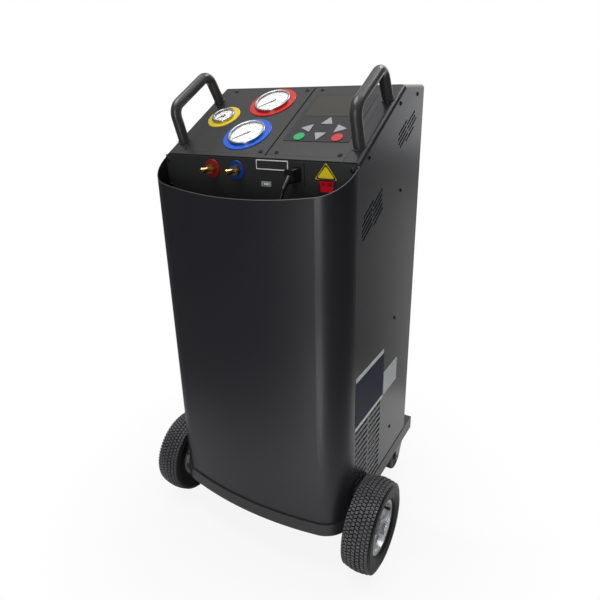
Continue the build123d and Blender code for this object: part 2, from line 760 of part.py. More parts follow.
# Connection panel: a moulded back wall and floor that follow the inside of the cover
def connection_panel():
    fit = sheet + 0.3
    face = -panel_face
    back = face + panel_thickness
    floor = extrude(front_plan(fit, back), panel_thickness) & block(-250, 250, -200, back, 0, panel_thickness)
    lip = extrude(front_plan(fit, back), pocket_lip) - extrude(front_plan(fit + 2, back + 2), pocket_lip)
    lip &= block(-250, 250, -200, back, 0, pocket_lip)
    panel = Pos(0, 0, pocket_floor - panel_thickness) * floor + Pos(0, 0, pocket_floor - panel_thickness) * lip
    side = half_width - fit - 1.5
    top = lip_height - 2.5
    wall = block(-side, side, face, back, pocket_floor - panel_thickness, top)
    panel += wall
    for x in port_places():
        panel -= rod(6.6, (x, face - 20, port_height), (x, back + 20, port_height))
    panel -= block(switch_x - 14.0, switch_x + 14.0, face - 5, back + 5, switch_height - 11.2, switch_height + 11.2)
    panel -= block(inlet_x - socket_width / 2 - 2, inlet_x + socket_width / 2 + 2, face - 5, back + 5,
                   inlet_height - socket_tall / 2 - 2, inlet_height + socket_tall / 2 + 2)
    panel -= block(usb_x - usb_width / 2, usb_x + usb_width / 2, face - 5, back + 5,
                   usb_height - usb_tall / 2, usb_height + usb_tall / 2)
    return drill(panel, screw_places())


def port_places():
    return (port_x - port_spacing / 2, port_x + port_spacing / 2)


def service_port(x):
    """flare fitting: hexagon against the washer, neck, thread and a coned nose"""
    face = -panel_face - washer_thickness
    out = Plane(origin=(x, face, port_height), x_dir=(1, 0, 0), z_dir=(0, -1, 0))
    body = extrude(out * RegularPolygon(port_hex / 2, 6, major_radius=False), port_hex_height)
    y = face - port_hex_height
    body += rod(port_neck_radius, (x, y, port_height), (x, y - port_neck_length, port_height))
    y -= port_neck_length
    nose = y - port_thread_length
    body += rod(port_thread_radius, (x, y, port_height), (x, nose, port_height))
    cone = extrude(Plane(origin=(x, nose, port_height), z_dir=(0, -1, 0)) * Circle(port_thread_radius), 2.6, taper=40)
    body += cone
    body += rod(6.3, (x, face, port_height), (x, 2.0, port_height))
    return body - rod(2.2, (x, nose - 10, port_height), (x, nose + 24, port_height))


def port_washer(x):
    face = -panel_face
    ring = rod(washer_radius, (x, face, port_height), (x, face - washer_thickness, port_height))
    ring = chamfer(ring.edges().sort_by(Axis.Y)[0], 0.7)
    return ring - rod(6.4, (x, face + 5, port_height), (x, face - 10, port_height))


def valve_manifold():
    """brass-bodied block behind the ports, with four solenoid coils on top of it"""
    x0, x1 = port_x - 60, port_x + 60
    block_body = block(x0, x1, 2.0, 30.0, port_height - 16, port_height + 10)
    for x in port_places():
        block_body -= rod(2.2, (x, 0, port_height), (x, 14, port_height))
    coils = []
    for i in range(4):
        x = port_x - 45 + 30 * i
        coil = Pos(x, 16, port_height - 16 - 18) * Cylinder(11, 36)
        coils.append(coil)
    return [block_body, *coils]


# Mains switch, power inlet and data socket
def switch_housing():
    face = -panel_face
    w, t = switch_width / 2, switch_tall / 2
    bezel = block(switch_x - w, switch_x + w, face - 2.2, face, switch_height - t, switch_height + t)
    bezel = fillet(bezel.edges().group_by(Axis.Y)[0], 0.8)
    body = block(switch_x - 13.9, switch_x + 13.9, face, face + 24, switch_height - 11.1, switch_height + 11.1)
    hole_w = rocker_width / 2 + rocker_clearance
    hole_t = rocker_tall / 2 + rocker_clearance
    hole = block(switch_x - hole_w, switch_x + hole_w, face - 10, face + 13, switch_height - hole_t,
                 switch_height + hole_t)
    housing = bezel + body - hole
    reach = hole_w + 0.2
    pin = rod(1.4, (switch_x - reach, face + 4, switch_height), (switch_x + reach, face + 4, switch_height))
    return housing + pin


def mains_rocker():
    """a shallow V-faced rocker on a cross pin, at rest with its lower half pressed in"""
    w = rocker_width / 2
    t = rocker_tall / 2 - 1.0
    outline = [(-4.8, 0), (-5.8, t), (1, t), (3.5, 0), (1, -t), (-5.8, -t)]
    body = prism_x(outline, -w, w) - rod(1.4 + running_fit, (-30, 0, 0), (30, 0, 0))
    return Pos(switch_x, -panel_face + 4.0, switch_height) * Rot(rocker_angle, 0, 0) * body


def power_inlet():
    """screw-fixed appliance inlet, flange upright, with its three blades"""
    face = -panel_face
    w, t = inlet_width / 2, inlet_tall / 2
    flange = block(inlet_x - w, inlet_x + w, face - 2.4, face, inlet_height - t + 4, inlet_height + t - 4)
    flange = fillet(flange.edges().filter_by(Axis.Y), 5.0)
    body = block(inlet_x - socket_width / 2 - 1.8, inlet_x + socket_width / 2 + 1.8, face, face + 26,
                 inlet_height - socket_tall / 2 - 1.8, inlet_height + socket_tall / 2 + 1.8)
    hole = block(inlet_x - socket_width / 2, inlet_x + socket_width / 2, face - 10, face - 2.4 + socket_depth,
                 inlet_height - socket_tall / 2, inlet_height + socket_tall / 2)
    return flange + body - hole


def usb_socket():
    face = -panel_face
    w, t = usb_width / 2, usb_tall / 2
    shell = block(usb_x - w, usb_x + w, face - 0.8, face + 15, usb_height - t, usb_height + t)
    frame = block(usb_x - usb_frame_width / 2, usb_x + usb_frame_width / 2, face - 0.8, face,
                  usb_height - usb_frame_tall / 2, usb_height + usb_frame_tall / 2)
    shell += fillet(frame.edges().filter_by(Axis.Y), 1.2)
    return shell - block(usb_x - w + 0.7, usb_x + w - 0.7, face - 5, face + 13, usb_height - t + 0.7,
                         usb_height + t - 0.7)


# Mains lead: moulded connector, the free stretch, the coil in the pocket and the plug
connector_y = -panel_face - 2.4 + 14.0
lead_exit = (inlet_x, -47.0, inlet_height - 11.0)
lead_route = [
    lead_exit, (inlet_x - 0.5, -56.0, inlet_height - 20.0), (inlet_x - 3.0, -63.0, inlet_height - 38.0),
    (inlet_x - 8.0, -64.0, inlet_height - 66.0), (inlet_x - 15.0, -60.0, inlet_height - 92.0),
    (inlet_x - 31.0, -53.0, pocket_floor + 17.0), (inlet_x - 56.0, -47.0, pocket_floor + 6.0),
    (coil_x, coil_y - lead_diameter / 2, pocket_floor + 4.0),
]
plug_route = [
    (coil_x, coil_y + lead_diameter / 2, pocket_floor + 4.0), (coil_x - 28.0, coil_y + 4.5, pocket_floor + 4.4),
    (coil_x - 50.0, coil_y + 1.5, pocket_floor + 10.0),
    (plug_x + plug_length / 2 + 14.0, coil_y, pocket_floor + plug_radius + 0.5),
]


def lead_tube(route, radii=None):
    """straight runs joined by arcs as large as the runs allow"""
    points = [Vector(*p) for p in route]
    bends = []
    for before, here, after in zip(points, points[1:], points[2:]):
        turn = radians((here - before).get_angle(after - here))
        shorter = min((here - before).length, (after - here).length)
        bends.append(0.45 * shorter / tan(turn / 2))
    path = FilletPolyline(*points, radius=bends)
    start = Plane(origin=path @ 0, z_dir=path % 0)
    tube = sweep(start * Circle(lead_diameter / 2), path=path)
    print("lead radii", [round(b, 1) for b in bends], "length", round(path.length, 1),
          "volume over section", round(tube.volume / (pi * lead_diameter ** 2 / 4), 1))
    return tube


def lead_connector():
    """appliance connector with an angled strain relief that points down into the pocket"""
    w, t = connector_width / 2, connector_tall / 2
    body = block(inlet_x - w, inlet_x + w, connector_y - 44.0, connector_y, inlet_height - t, inlet_height + t)
    body = fillet(body.edges().filter_by(Axis.Y), 3.0)
    end = Vector(*lead_exit)
    root = Vector(inlet_x, connector_y - 42.0, inlet_height - 2.0)
    relief = Plane(origin=end, z_dir=root - end)
    body += extrude(relief * Circle(lead_diameter / 2 + 1.2), (root - end).length, taper=-7)
    return body


def lead_coil():
    turns = coil_layers * lead_diameter
    width = coil_rows * lead_diameter
    inner = coil_radius - turns / 2
    ring = Circle(coil_radius + turns / 2) - Circle(inner)
    upright = Plane(origin=(coil_x, coil_y - width / 2, pocket_floor + coil_radius + turns / 2 + 0.5),
                    x_dir=(1, 0, 0), z_dir=(0, 1, 0))
    return extrude(upright * ring, width)


def mains_plug():
    """round moulded plug lying in the pocket, pins to the left, with a tapered strain relief"""
    z = pocket_floor + plug_radius + 0.5
    tip = plug_x - plug_length / 2
    heel = plug_x + plug_length / 2
    outline = [(0, tip), (plug_radius, tip), (plug_radius, tip + 22), (plug_radius - 5, heel - 6), (7.0, heel),
               (4.8, heel + 14), (0, heel + 14)]
    wire = Polyline(*[(x, r, 0) for r, x in outline], close=True)
    body = Pos(0, coil_y, z) * revolve(make_face(wire), Axis.X)
    for dy in (-9.5, 9.5):
        body += rod(2.4, (tip - 19, coil_y + dy, z), (tip, coil_y + dy, z))
    return body


# Working parts inside the cabinet
def scale_platform():
    """weighing platform: base plate, load cell bar and top plate"""
    z = tray_top
    x, y = cylinder_x, cylinder_y
    reach = cylinder_radius - 12
    low = block(x - reach + 3, x + reach - 3, y - reach + 3, y + reach - 3, z, z + 6)
    high = block(x - reach, x + reach, y - reach, y + reach, z + scale_height - 6, z + scale_height)
    cell = block(x - reach + 28, x + reach - 28, y - 15, y + 15, z + 6, z + scale_height - 6)
    return [low, cell, high]


def refrigerant_cylinder():
    z = tray_top + scale_height
    r = cylinder_radius
    top = z + cylinder_height
    outline = [(r - 8, z), (r - 6, z + 24), (r - 1, z + 26), (r, z + 34), (r, top - 84), (r - 10, top - 49),
               (r - 45, top - 26), (30, top - 22), (16, top - 18), (16, top), (0, top), (0, z + 12), (r - 30, z + 10),
               (r - 11, z)]
    wire = Polyline(*[(a, 0, h) for a, h in outline], close=True)
    shell = Pos(cylinder_x, cylinder_y, 0) * revolve(make_face(wire), Axis.Z)
    for side in (-1, 1):
        x = cylinder_x + side * 22
        shell += rod(9, (cylinder_x, cylinder_y, top - 9), (x + side * 16, cylinder_y, top - 9))
    return shell


condenser_x = half_width - sheet - upstand_wall - 0.3
condenser_mid = (78.0, tray_top + condenser_height / 2 + 8.5)


def condenser():
    """finned coil behind the right grille, standing on the tray, with its fan shroud"""
    y, z = condenser_mid
    x1 = condenser_x
    x0 = x1 - condenser_depth
    low = tray_top
    top = low + condenser_height
    core = block(x0, x1, y - 70, y + 70, low + 12, top - 6)
    fins = []
    for i in range(9):
        fin_z = low + 22 + 23 * i
        core -= block(x0 - 1, x0 + 3, y - 64, y + 64, fin_z, fin_z + 14)
    for end in (-1, 1):
        y0 = y + end * 70
        core += block(x0, x1, min(y0, y0 + end * 3), max(y0, y0 + end * 3), low, top)
    shroud = block(x0 - 12, x0, y - 73, y + 73, low + 12, top)
    shroud -= rod(68, (x0 - 20, y, z), (x0 + 0.01, y, z))
    return [core, shroud]


def fan_motor():
    """motor on a four-legged bracket fixed to the shroud"""
    y, z = condenser_mid
    x_shroud = condenser_x - condenser_depth - 12
    motor = rod(32, (x_shroud - 66, y, z), (x_shroud - 22, y, z))
    motor += rod(4, (x_shroud - 22, y, z), (x_shroud + 9, y, z))
    plate = block(x_shroud - 70, x_shroud - 66, y - 12, y + 12, z - 80, z + 80)
    for s in (-1, 1):
        z0 = z + s * 76
        plate += block(x_shroud - 70, x_shroud, y - 12, y + 12, min(z0, z0 + s * 4), max(z0, z0 + s * 4))
    return motor + plate


def fan_blades():
    y, z = condenser_mid
    x_shroud = condenser_x - condenser_depth - 12
    middle = x_shroud - 4
    hub = rod(16, (middle - 9, y, z), (middle + 9, y, z))
    for i in range(5):
        blade = Pos(middle, y, z) * Rot(i * 72, 0, 0) * Pos(0, 0, 38) * Rot(0, 0, 28) * Box(2, 34, 50)
        hub += blade
    return hub - rod(4 + running_fit, (middle - 30, y, z), (middle + 30, y, z))


def compressor():
    """hermetic compressor on the right shelf: domed shell, feet and terminal box"""
    z = right_shelf
    x, y = 136.0, 96.0
    r = compressor_radius
    top = z + compressor_height
    outline = [(0, z + 12), (r - 12, z + 12), (r - 2, z + 26), (r, z + 84), (r + 4, z + 86), (r + 4, z + 92), (r, z + 94),
               (r - 2, top - 46), (r - 16, top - 14), (r - 50, top - 2), (0, top)]
    wire = Polyline(*[(r, 0, h) for r, h in outline], close=True)
    shell = Pos(x, y, 0) * revolve(make_face(wire), Axis.Z)
    for dx in (-1, 1):
        for dy in (-1, 1):
            shell += block(x + dx * 58 - 14, x + dx * 58 + 14, y + dy * 58 - 14, y + dy * 58 + 14, z + 8, z + 13)
            shell += Pos(x + dx * 58, y + dy * 58, z + 4) * Cylinder(9, 8)
    shell += block(x - 26, x + 26, y - 92, y - 60, z + 50, z + 100)
    return shell


def vacuum_pump():
    """rotary vane pump on the left shelf: ribbed motor, pump block and sight glass boss"""
    z = left_shelf
    y = 96.0
    r = pump_radius
    mid = z + r + 10
    body = rod(r - 4, (-192, y, mid), (-92, y, mid))
    for i in range(8):
        x = -186 + i * 12
        body += rod(r, (x, y, mid), (x + 4, y, mid))
    body += block(-92, -18, y - r, y + r, z + 10, z + 102)
    body += rod(14, (-18, y, mid - 16), (-14, y, mid - 16))
    body += Pos(-56, y, z + 102 + 12) * Cylinder(16, 24)
    for x in (-172, -60):
        body += block(x - 14, x + 14, y - r + 2, y + r - 2, z, z + 12)
    return body


def filter_drier():
    r = drier_radius
    half = drier_length / 2
    y, z = bulkhead_y - r - 2.2, bulkhead_top - 160
    outline = [(0, z - half), (7, z - half), (7, z - half + 10), (r - 5, z - half + 18), (r, z - half + 28),
               (r, z + half - 28), (r - 5, z + half - 18), (7, z + half - 10), (7, z + half), (0, z + half)]
    wire = Polyline(*[(r, 0, h) for r, h in outline], close=True)
    shell = Pos(60, y, 0) * revolve(make_face(wire), Axis.Z)
    strap = block(18, 102, bulkhead_y - 2, bulkhead_y, z - 12, z + 12)
    strap += Pos(60, y, z) * (Cylinder(r + 2, 24) - Cylinder(r, 24))
    return [shell, strap]


def power_supply():
    y = bulkhead_y + bulkhead_wall
    top = bulkhead_top - 142
    box = block(-supply_width / 2, supply_width / 2, y, y + supply_depth, top - supply_height, top)
    for i in range(8):
        x = 18 * i - 70
        box -= block(x, x + 6, y + supply_depth - 2, y + supply_depth + 1, top - supply_height + 15, top - 16)
    return box


def main():
    os.makedirs("parts", exist_ok=True)
    save("base_tray", base_tray())
    save("axle", *axle_set())
    save("caster_plates", *caster_plates())
    for word, side in (("left", -1), ("right", 1)):
        save(word + "_tyre", tyre(side))
        save(word + "_wheel_rim", *rim(side))
        save(word + "_caster_fork", *caster_fork(side))
        save(word + "_caster_wheel", caster_wheel(side))
        save(word + "_handle", handle(side))
    save("front_cover", front_cover())
    panel = side_panel()
    save("right_side_panel", panel)
    save("left_side_panel", mirrored(panel))
    save("console_frame", console_frame())
    save("gauge_panel", gauge_panel())
    save("control_panel", control_panel())
    save("control_overlay", control_overlay())
    save("control_board", *control_board())
    for name in key_places:
        save(name + "_key", key(name))
    save("gauge_cases", *[gauge_case(x, s, bezel) for name, x, s, bezel, ring in gauges])
    save("gauge_dials", *[gauge_dial(x, s, bezel) for name, x, s, bezel, ring in gauges])
    save("gauge_lenses", *[gauge_lens(x, s, bezel) for name, x, s, bezel, ring in gauges])
    for name, x, s, bezel, ring in gauges:
        save(name + "_gauge_ring", gauge_collar(x, s, bezel, ring))
        save(name + "_needle", needle(x, s, bezel))
    save("connection_panel", connection_panel())
    save("service_ports", *[service_port(x) for x in port_places()])
    save("port_washers", *[port_washer(x) for x in port_places()])
    save("valve_manifold", *valve_manifold())
    save("switch_housing", switch_housing())
    save("mains_rocker", mains_rocker())
    save("power_inlet", power_inlet())
    save("usb_socket", usb_socket())
    save("lead_connector", lead_connector())
    save("mains_lead", lead_tube(lead_route), lead_tube(plug_route))
    save("mains_lead_coil", lead_coil())
    save("mains_plug", mains_plug())
    save("back_panel", back_panel())
    save("inner_bulkhead", inner_bulkhead())
    save("scale_platform", *scale_platform())
    save("refrigerant_cylinder", refrigerant_cylinder())
    save("condenser", *condenser())
    save("fan_motor", fan_motor())
    save("fan_blades", fan_blades())
    save("compressor", compressor())
    save("vacuum_pump", vacuum_pump())
    save("filter_drier", *filter_drier())
    save("power_supply", power_supply())
    save("panel_screws", *[place * screw() for place in screw_places()])


main()
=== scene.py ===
"""Air conditioning recharge station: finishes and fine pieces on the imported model, as it is put together."""
from math import atan2, cos, pi, radians, sin

import bmesh
import bpy
from mathutils import Matrix, Vector


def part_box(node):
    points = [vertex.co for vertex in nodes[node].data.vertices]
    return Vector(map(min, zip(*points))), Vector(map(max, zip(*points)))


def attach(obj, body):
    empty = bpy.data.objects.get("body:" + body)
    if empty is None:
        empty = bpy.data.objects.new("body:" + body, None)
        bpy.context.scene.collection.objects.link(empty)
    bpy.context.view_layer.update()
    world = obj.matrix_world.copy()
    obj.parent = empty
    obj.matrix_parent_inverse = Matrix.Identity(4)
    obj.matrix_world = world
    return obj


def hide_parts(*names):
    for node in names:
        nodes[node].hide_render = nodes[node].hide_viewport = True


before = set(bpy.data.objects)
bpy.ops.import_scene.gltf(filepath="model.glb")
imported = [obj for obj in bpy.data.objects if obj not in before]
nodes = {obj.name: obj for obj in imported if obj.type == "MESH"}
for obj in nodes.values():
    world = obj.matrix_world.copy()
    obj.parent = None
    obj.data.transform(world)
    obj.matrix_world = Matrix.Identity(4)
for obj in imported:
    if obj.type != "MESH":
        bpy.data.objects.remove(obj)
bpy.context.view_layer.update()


# Base tray: folded steel, sprayed with satin black powder paint that leaves a fine orange peel.
# The tray carries the cabinet, runs on behind it as a platform, and holds the axle and the casters.
def make_surface_grain():
    """shader group: fine grain, broad unevenness and a little settled dust"""
    tree = bpy.data.node_groups.new("surface grain", "ShaderNodeTree")
    for name, kind in (("Colour", "Color"), ("Dust colour", "Color"), ("Dust", "Float"),
                       ("Roughness", "Float"), ("Unevenness", "Float"), ("Grains", "Float")):
        tree.interface.new_socket(name, in_out="INPUT", socket_type="NodeSocket" + kind)
    for name, kind in (("Colour", "Color"), ("Roughness", "Float"), ("Height", "Float")):
        tree.interface.new_socket(name, in_out="OUTPUT", socket_type="NodeSocket" + kind)
    new, link = tree.nodes.new, tree.links.new
    given, result = new("NodeGroupInput"), new("NodeGroupOutput")
    place = new("ShaderNodeTexCoord")
    peel = new("ShaderNodeTexNoise")
    peel.inputs["Detail"].default_value = 2.0
    link(place.outputs["Object"], peel.inputs["Vector"])
    link(given.outputs["Grains"], peel.inputs["Scale"])
    link(peel.outputs["Fac"], result.inputs["Height"])
    cloud = new("ShaderNodeTexNoise")
    cloud.inputs["Scale"].default_value = 7.0
    cloud.inputs["Detail"].default_value = 5.0
    link(place.outputs["Object"], cloud.inputs["Vector"])
    centred = new("ShaderNodeMath")
    centred.operation = "SUBTRACT"
    centred.inputs[1].default_value = 0.5
    link(cloud.outputs["Fac"], centred.inputs[0])
    rough = new("ShaderNodeMath")
    rough.operation = "MULTIPLY_ADD"
    link(centred.outputs[0], rough.inputs[0])
    link(given.outputs["Unevenness"], rough.inputs[1])
    link(given.outputs["Roughness"], rough.inputs[2])
    link(rough.outputs[0], result.inputs["Roughness"])
    share = new("ShaderNodeMath")
    share.operation = "MULTIPLY"
    link(cloud.outputs["Fac"], share.inputs[0])
    link(given.outputs["Dust"], share.inputs[1])
    mix = new("ShaderNodeMix")
    mix.data_type = "RGBA"
    link(share.outputs[0], mix.inputs[0])
    link(given.outputs["Colour"], mix.inputs[6])
    link(given.outputs["Dust colour"], mix.inputs[7])
    link(mix.outputs[2], result.inputs["Colour"])
    return tree


surface_grain = make_surface_grain()
dust_grey = (0.22, 0.21, 0.20, 1.0)


def finish(name, colour, roughness, metallic=0.0, grains=700.0, depth=0.00003, uneven=0.10, dust=0.04,
           coat=0.0, shine=0.5):
    """one finish of the object, with its grain from the shared group"""
    made = bpy.data.materials.new(name)
    made.use_nodes = True
    new, link = made.node_tree.nodes.new, made.node_tree.links.new
    shader = made.node_tree.nodes["Principled BSDF"]
    for socket, value in (("Metallic", metallic), ("Specular IOR Level", shine), ("Coat Weight", coat),
                          ("Coat Roughness", 0.12)):
        shader.inputs[socket].default_value = value
    grain = new("ShaderNodeGroup")
    grain.node_tree = surface_grain
    for socket, value in (("Colour", (*colour, 1.0)), ("Dust colour", dust_grey), ("Dust", dust),
                          ("Roughness", roughness), ("Unevenness", uneven), ("Grains", grains)):
        grain.inputs[socket].default_value = value
    bump = new("ShaderNodeBump")
    bump.inputs["Distance"].default_value = depth
    link(grain.outputs["Colour"], shader.inputs["Base Color"])
    link(grain.outputs["Roughness"], shader.inputs["Roughness"])
    link(grain.outputs["Height"], bump.inputs["Height"])
    link(bump.outputs["Normal"], shader.inputs["Normal"])
    return made


def dress(material, *names):
    """give CAD nodes their finish"""
    for name in names:
        nodes[name].data.materials.clear()
        nodes[name].data.materials.append(material)


base_paint = finish("base powder paint", (0.024, 0.024, 0.026), 0.36)
dress(base_paint, "base_tray")


# Front wheels: air-filled rubber tyres with seven staggered rows of tread blocks.
# The carcass is turned from one section, and each row of blocks is one block copied round the wheel.
sides = (("left", -1), ("right", 1))
wheel_centre = {side: (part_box(side + "_tyre")[0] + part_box(side + "_tyre")[1]) / 2 for side, out in sides}
wheel_radius = 0.1015
crown_gap, crown_fall = 0.0002, 5.2
tread_depth, tread_root = 0.0026, 0.0015
# each row's distance from the middle, half its width, and its start round the wheel in steps
tread_rows = [(0.0, 0.0037, 0.0), (0.0096, 0.0034, 0.5), (-0.0096, 0.0034, 0.5), (0.0185, 0.0033, 0.0),
              (-0.0185, 0.0033, 0.0), (0.0261, 0.0026, 0.5), (-0.0261, 0.0026, 0.5)]
tread_count, tread_lean, block_share = 80, 0.22, 0.33
block_half = 2 * pi * wheel_radius / tread_count * block_share


def in_scene(name, data):
    """an object in the scene, unturned and at the origin"""
    thing = bpy.data.objects.new(name, data)
    bpy.context.scene.collection.objects.link(thing)
    return thing


def new_piece(name, mesh, material, body="cabinet", smooth=None):
    """a finished piece of the object that rides on one body"""
    if isinstance(mesh, bmesh.types.BMesh):
        bmesh.ops.remove_doubles(mesh, verts=mesh.verts, dist=1e-6)
        bmesh.ops.recalc_face_normals(mesh, faces=mesh.faces)
        built = bpy.data.meshes.new(name)
        mesh.to_mesh(built)
        mesh.free()
        mesh = built
        mesh.materials.append(material)
    if smooth:
        mesh.shade_smooth()
        mesh.set_sharp_from_angle(angle=radians(smooth))
    piece = in_scene(name, mesh)
    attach(piece, body)
    return piece


def turned(section, steps=96):
    """a closed (along X, radius) section turned about the X axis"""
    bm = bmesh.new()
    rings = []
    for i in range(steps):
        a = 2 * pi * i / steps
        rings.append([bm.verts.new((x, r * cos(a), r * sin(a))) for x, r in section])
    for i in range(steps):
        here, there = rings[i], rings[(i + 1) % steps]
        for j in range(len(section)):
            k = (j + 1) % len(section)
            bm.faces.new((here[j], here[k], there[k], there[j]))
    return bm


def placed(bm, matrix):
    """a shape moved to its place"""
    bmesh.ops.transform(bm, matrix=matrix, verts=bm.verts)
    return bm


def add_block(bm, low, high, lean=0.0):
    """a box, or with a lean one whose ends slant along Y, for tread blocks and small bars"""
    corners = []
    for x in (low[0], high[0]):
        for y in (low[1], high[1]):
            for z in (low[2], high[2]):
                shift = lean * (x - (low[0] + high[0]) / 2)
                corners.append(bm.verts.new((x, y + shift, z)))
    for face in ((0, 1, 3, 2), (4, 6, 7, 5), (0, 4, 5, 1), (2, 3, 7, 6), (0, 2, 6, 4), (1, 5, 7, 3)):
        bm.faces.new([corners[i] for i in face])


def open_tree(name, sizes):
    """a node tree that takes a mesh, its named sizes and a finish, and gives a mesh"""
    tree = bpy.data.node_groups.new(name, "GeometryNodeTree")
    for socket, kind in (("Geometry", "Geometry"), *sizes, ("Finish", "Material")):
        tree.interface.new_socket(socket, in_out="INPUT", socket_type="NodeSocket" + kind)
    tree.interface.new_socket("Geometry", in_out="OUTPUT", socket_type="NodeSocketGeometry")
    return tree, tree.nodes.new, tree.links.new, tree.nodes.new("NodeGroupInput")


def close_tree(tree, given, copies):
    """the end of a node tree: its copies made real and given their finish"""
    new, link = tree.nodes.new, tree.links.new
    realize, coat = new("GeometryNodeRealizeInstances"), new("GeometryNodeSetMaterial")
    link(copies.outputs[0], realize.inputs[0])
    link(realize.outputs[0], coat.inputs["Geometry"])
    link(given.outputs["Finish"], coat.inputs["Material"])
    link(coat.outputs[0], new("NodeGroupOutput").inputs[0])
    return tree


def make_ring_of_copies():
    """node tree: copies of the given mesh, turned step by step about one axis"""
    tree, new, link, given = open_tree("ring of copies", (
        ("Copies", "Int"), ("First angle", "Float"), ("Angle step", "Float"), ("Axis", "Vector")))
    row = new("GeometryNodeMeshLine")
    row.inputs["Offset"].default_value = (0.0, 0.0, 0.0)
    link(given.outputs["Copies"], row.inputs["Count"])
    index = new("GeometryNodeInputIndex")
    angle = new("ShaderNodeMath")
    angle.operation = "MULTIPLY_ADD"
    link(index.outputs[0], angle.inputs[0])
    link(given.outputs["Angle step"], angle.inputs[1])
    link(given.outputs["First angle"], angle.inputs[2])
    turn = new("ShaderNodeVectorMath")
    turn.operation = "SCALE"
    link(given.outputs["Axis"], turn.inputs[0])
    link(angle.outputs[0], turn.inputs["Scale"])
    rotation = new("FunctionNodeEulerToRotation")
    link(turn.outputs[0], rotation.inputs[0])
    copies = new("GeometryNodeInstanceOnPoints")
    link(row.outputs[0], copies.inputs["Points"])
    link(given.outputs["Geometry"], copies.inputs["Instance"])
    link(rotation.outputs[0], copies.inputs["Rotation"])
    return close_tree(tree, given, copies)


ring_of_copies = make_ring_of_copies()


def grown(tree, start, sizes):
    """the plain mesh that a node tree makes from a start mesh and its named sizes"""
    if isinstance(start, bmesh.types.BMesh):
        bmesh.ops.recalc_face_normals(start, faces=start.faces)
        seed = bpy.data.meshes.new("start")
        start.to_mesh(seed)
        start.free()
        start = seed
    host = in_scene("host", start)
    modifier = host.modifiers.new("tree", "NODES")
    modifier.node_group = tree
    for item in tree.interface.items_tree:
        if item.in_out == "INPUT" and item.name in sizes:
            modifier[item.identifier] = sizes[item.name]
    ready = host.evaluated_get(bpy.context.evaluated_depsgraph_get())
    mesh = bpy.data.meshes.new_from_object(ready)
    bpy.data.objects.remove(host)
    return mesh


def joined(meshes):
    """several plain meshes as one"""
    bm = bmesh.new()
    for mesh in meshes:
        bm.from_mesh(mesh)
    whole = bpy.data.meshes.new("joined")
    bm.to_mesh(whole)
    bm.free()
    for material in meshes[0].materials:
        whole.materials.append(material)
    return whole


def crown(a):
    """radius of the tread's top at a distance from the middle of the tyre"""
    return wheel_radius - crown_gap - crown_fall * a * a


tyre_rubber = finish("tyre rubber", (0.006, 0.006, 0.007), 0.40, grains=1500.0, depth=0.00005, uneven=0.25,
                     dust=0.03, shine=0.22)
# the tread blocks are much lighter than the carcass: partly worn, dusty tops, partly painted light, lit tops
# against painted shade in the grooves where the dark carcass shows
worn_lit_tread_rubber = finish("worn tread rubber with painted light", (0.075, 0.075, 0.082), 0.42, grains=1500.0, depth=0.00008,
                      uneven=0.3, dust=0.20)
half_section = [(a, crown(a) - tread_depth) for a in (0.0, 0.010, 0.020, 0.0265)]
half_section += [(0.0298, 0.0922), (0.0315, 0.0885), (0.0315, 0.0872), (0.0326, 0.0868), (0.0329, 0.0800),
                 (0.0329, 0.0762), (0.0320, 0.0756), (0.0320, 0.0744), (0.0324, 0.0738), (0.0310, 0.0670),
                 (0.0290, 0.0630), (0.0262, 0.0608), (0.0240, 0.0602), (0.0236, 0.0575)]
tyre_section = half_section + [(-x, r) for x, r in reversed(half_section)]
for side, out in sides:
    wheel_place = Matrix.Translation(wheel_centre[side])
    carcass = placed(turned(tyre_section, 128), wheel_place)
    tyre = new_piece(side + "_tyre_carcass", carcass, tyre_rubber, side + "_wheel", 40)
    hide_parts(side + "_tyre")
    rows = []
    for row_x, row_half, phase in tread_rows:
        block = bmesh.new()
        top = crown(abs(row_x) + row_half)
        add_block(block, (row_x - row_half, -block_half, top - tread_depth - tread_root),
                  (row_x + row_half, block_half, top), tread_lean if phase else -tread_lean)
        rows.append(grown(ring_of_copies, block, {
            "Copies": tread_count, "First angle": phase * 2 * pi / tread_count,
            "Angle step": 2 * pi / tread_count, "Axis": (1.0, 0.0, 0.0), "Finish": worn_lit_tread_rubber}))
    tread = joined(rows)
    tread.transform(wheel_place)
    new_piece(side + "_tread_blocks", tread, worn_lit_tread_rubber, side + "_wheel")

# Rims: two pressed halves, sprayed silver, bolted together round a hub with ball bearings.
# Four bolts ring the hub, and a rubber valve stem comes through the disc.
rim_paint = finish("silver rim paint", (0.60, 0.61, 0.63), 0.30, metallic=0.75, depth=0.00002, dust=0.1)
bright_zinc = finish("bright zinc plate", (0.66, 0.67, 0.68), 0.24, metallic=1.0, grains=400.0, dust=0.02)
dress(rim_paint, "left_wheel_rim", "right_wheel_rim")
dress(bright_zinc, "axle")
bolt_count, bolt_ring, bolt_face = 4, 0.0265, 0.0165
bolt_section = [(0.0, 0.0), (0.0, 0.0048), (0.0040, 0.0048), (0.0046, 0.0042), (0.0046, 0.0)]
for side, out in sides:
    bolt = placed(turned(bolt_section, 6), Matrix.Translation((0, 0, bolt_ring)))
    if out < 0:
        placed(bolt, Matrix.Scale(-1, 4, (1, 0, 0)))
    bmesh.ops.remove_doubles(bolt, verts=bolt.verts, dist=1e-6)
    bolts = grown(ring_of_copies, bolt, {
        "Copies": bolt_count, "First angle": 0.0, "Angle step": 2 * pi / bolt_count,
        "Axis": (1.0, 0.0, 0.0), "Finish": bright_zinc})
    bolts.transform(Matrix.Translation(wheel_centre[side] + Vector((out * bolt_face, 0, 0))))
    new_piece(side + "_rim_bolts", bolts, bright_zinc, side + "_wheel")

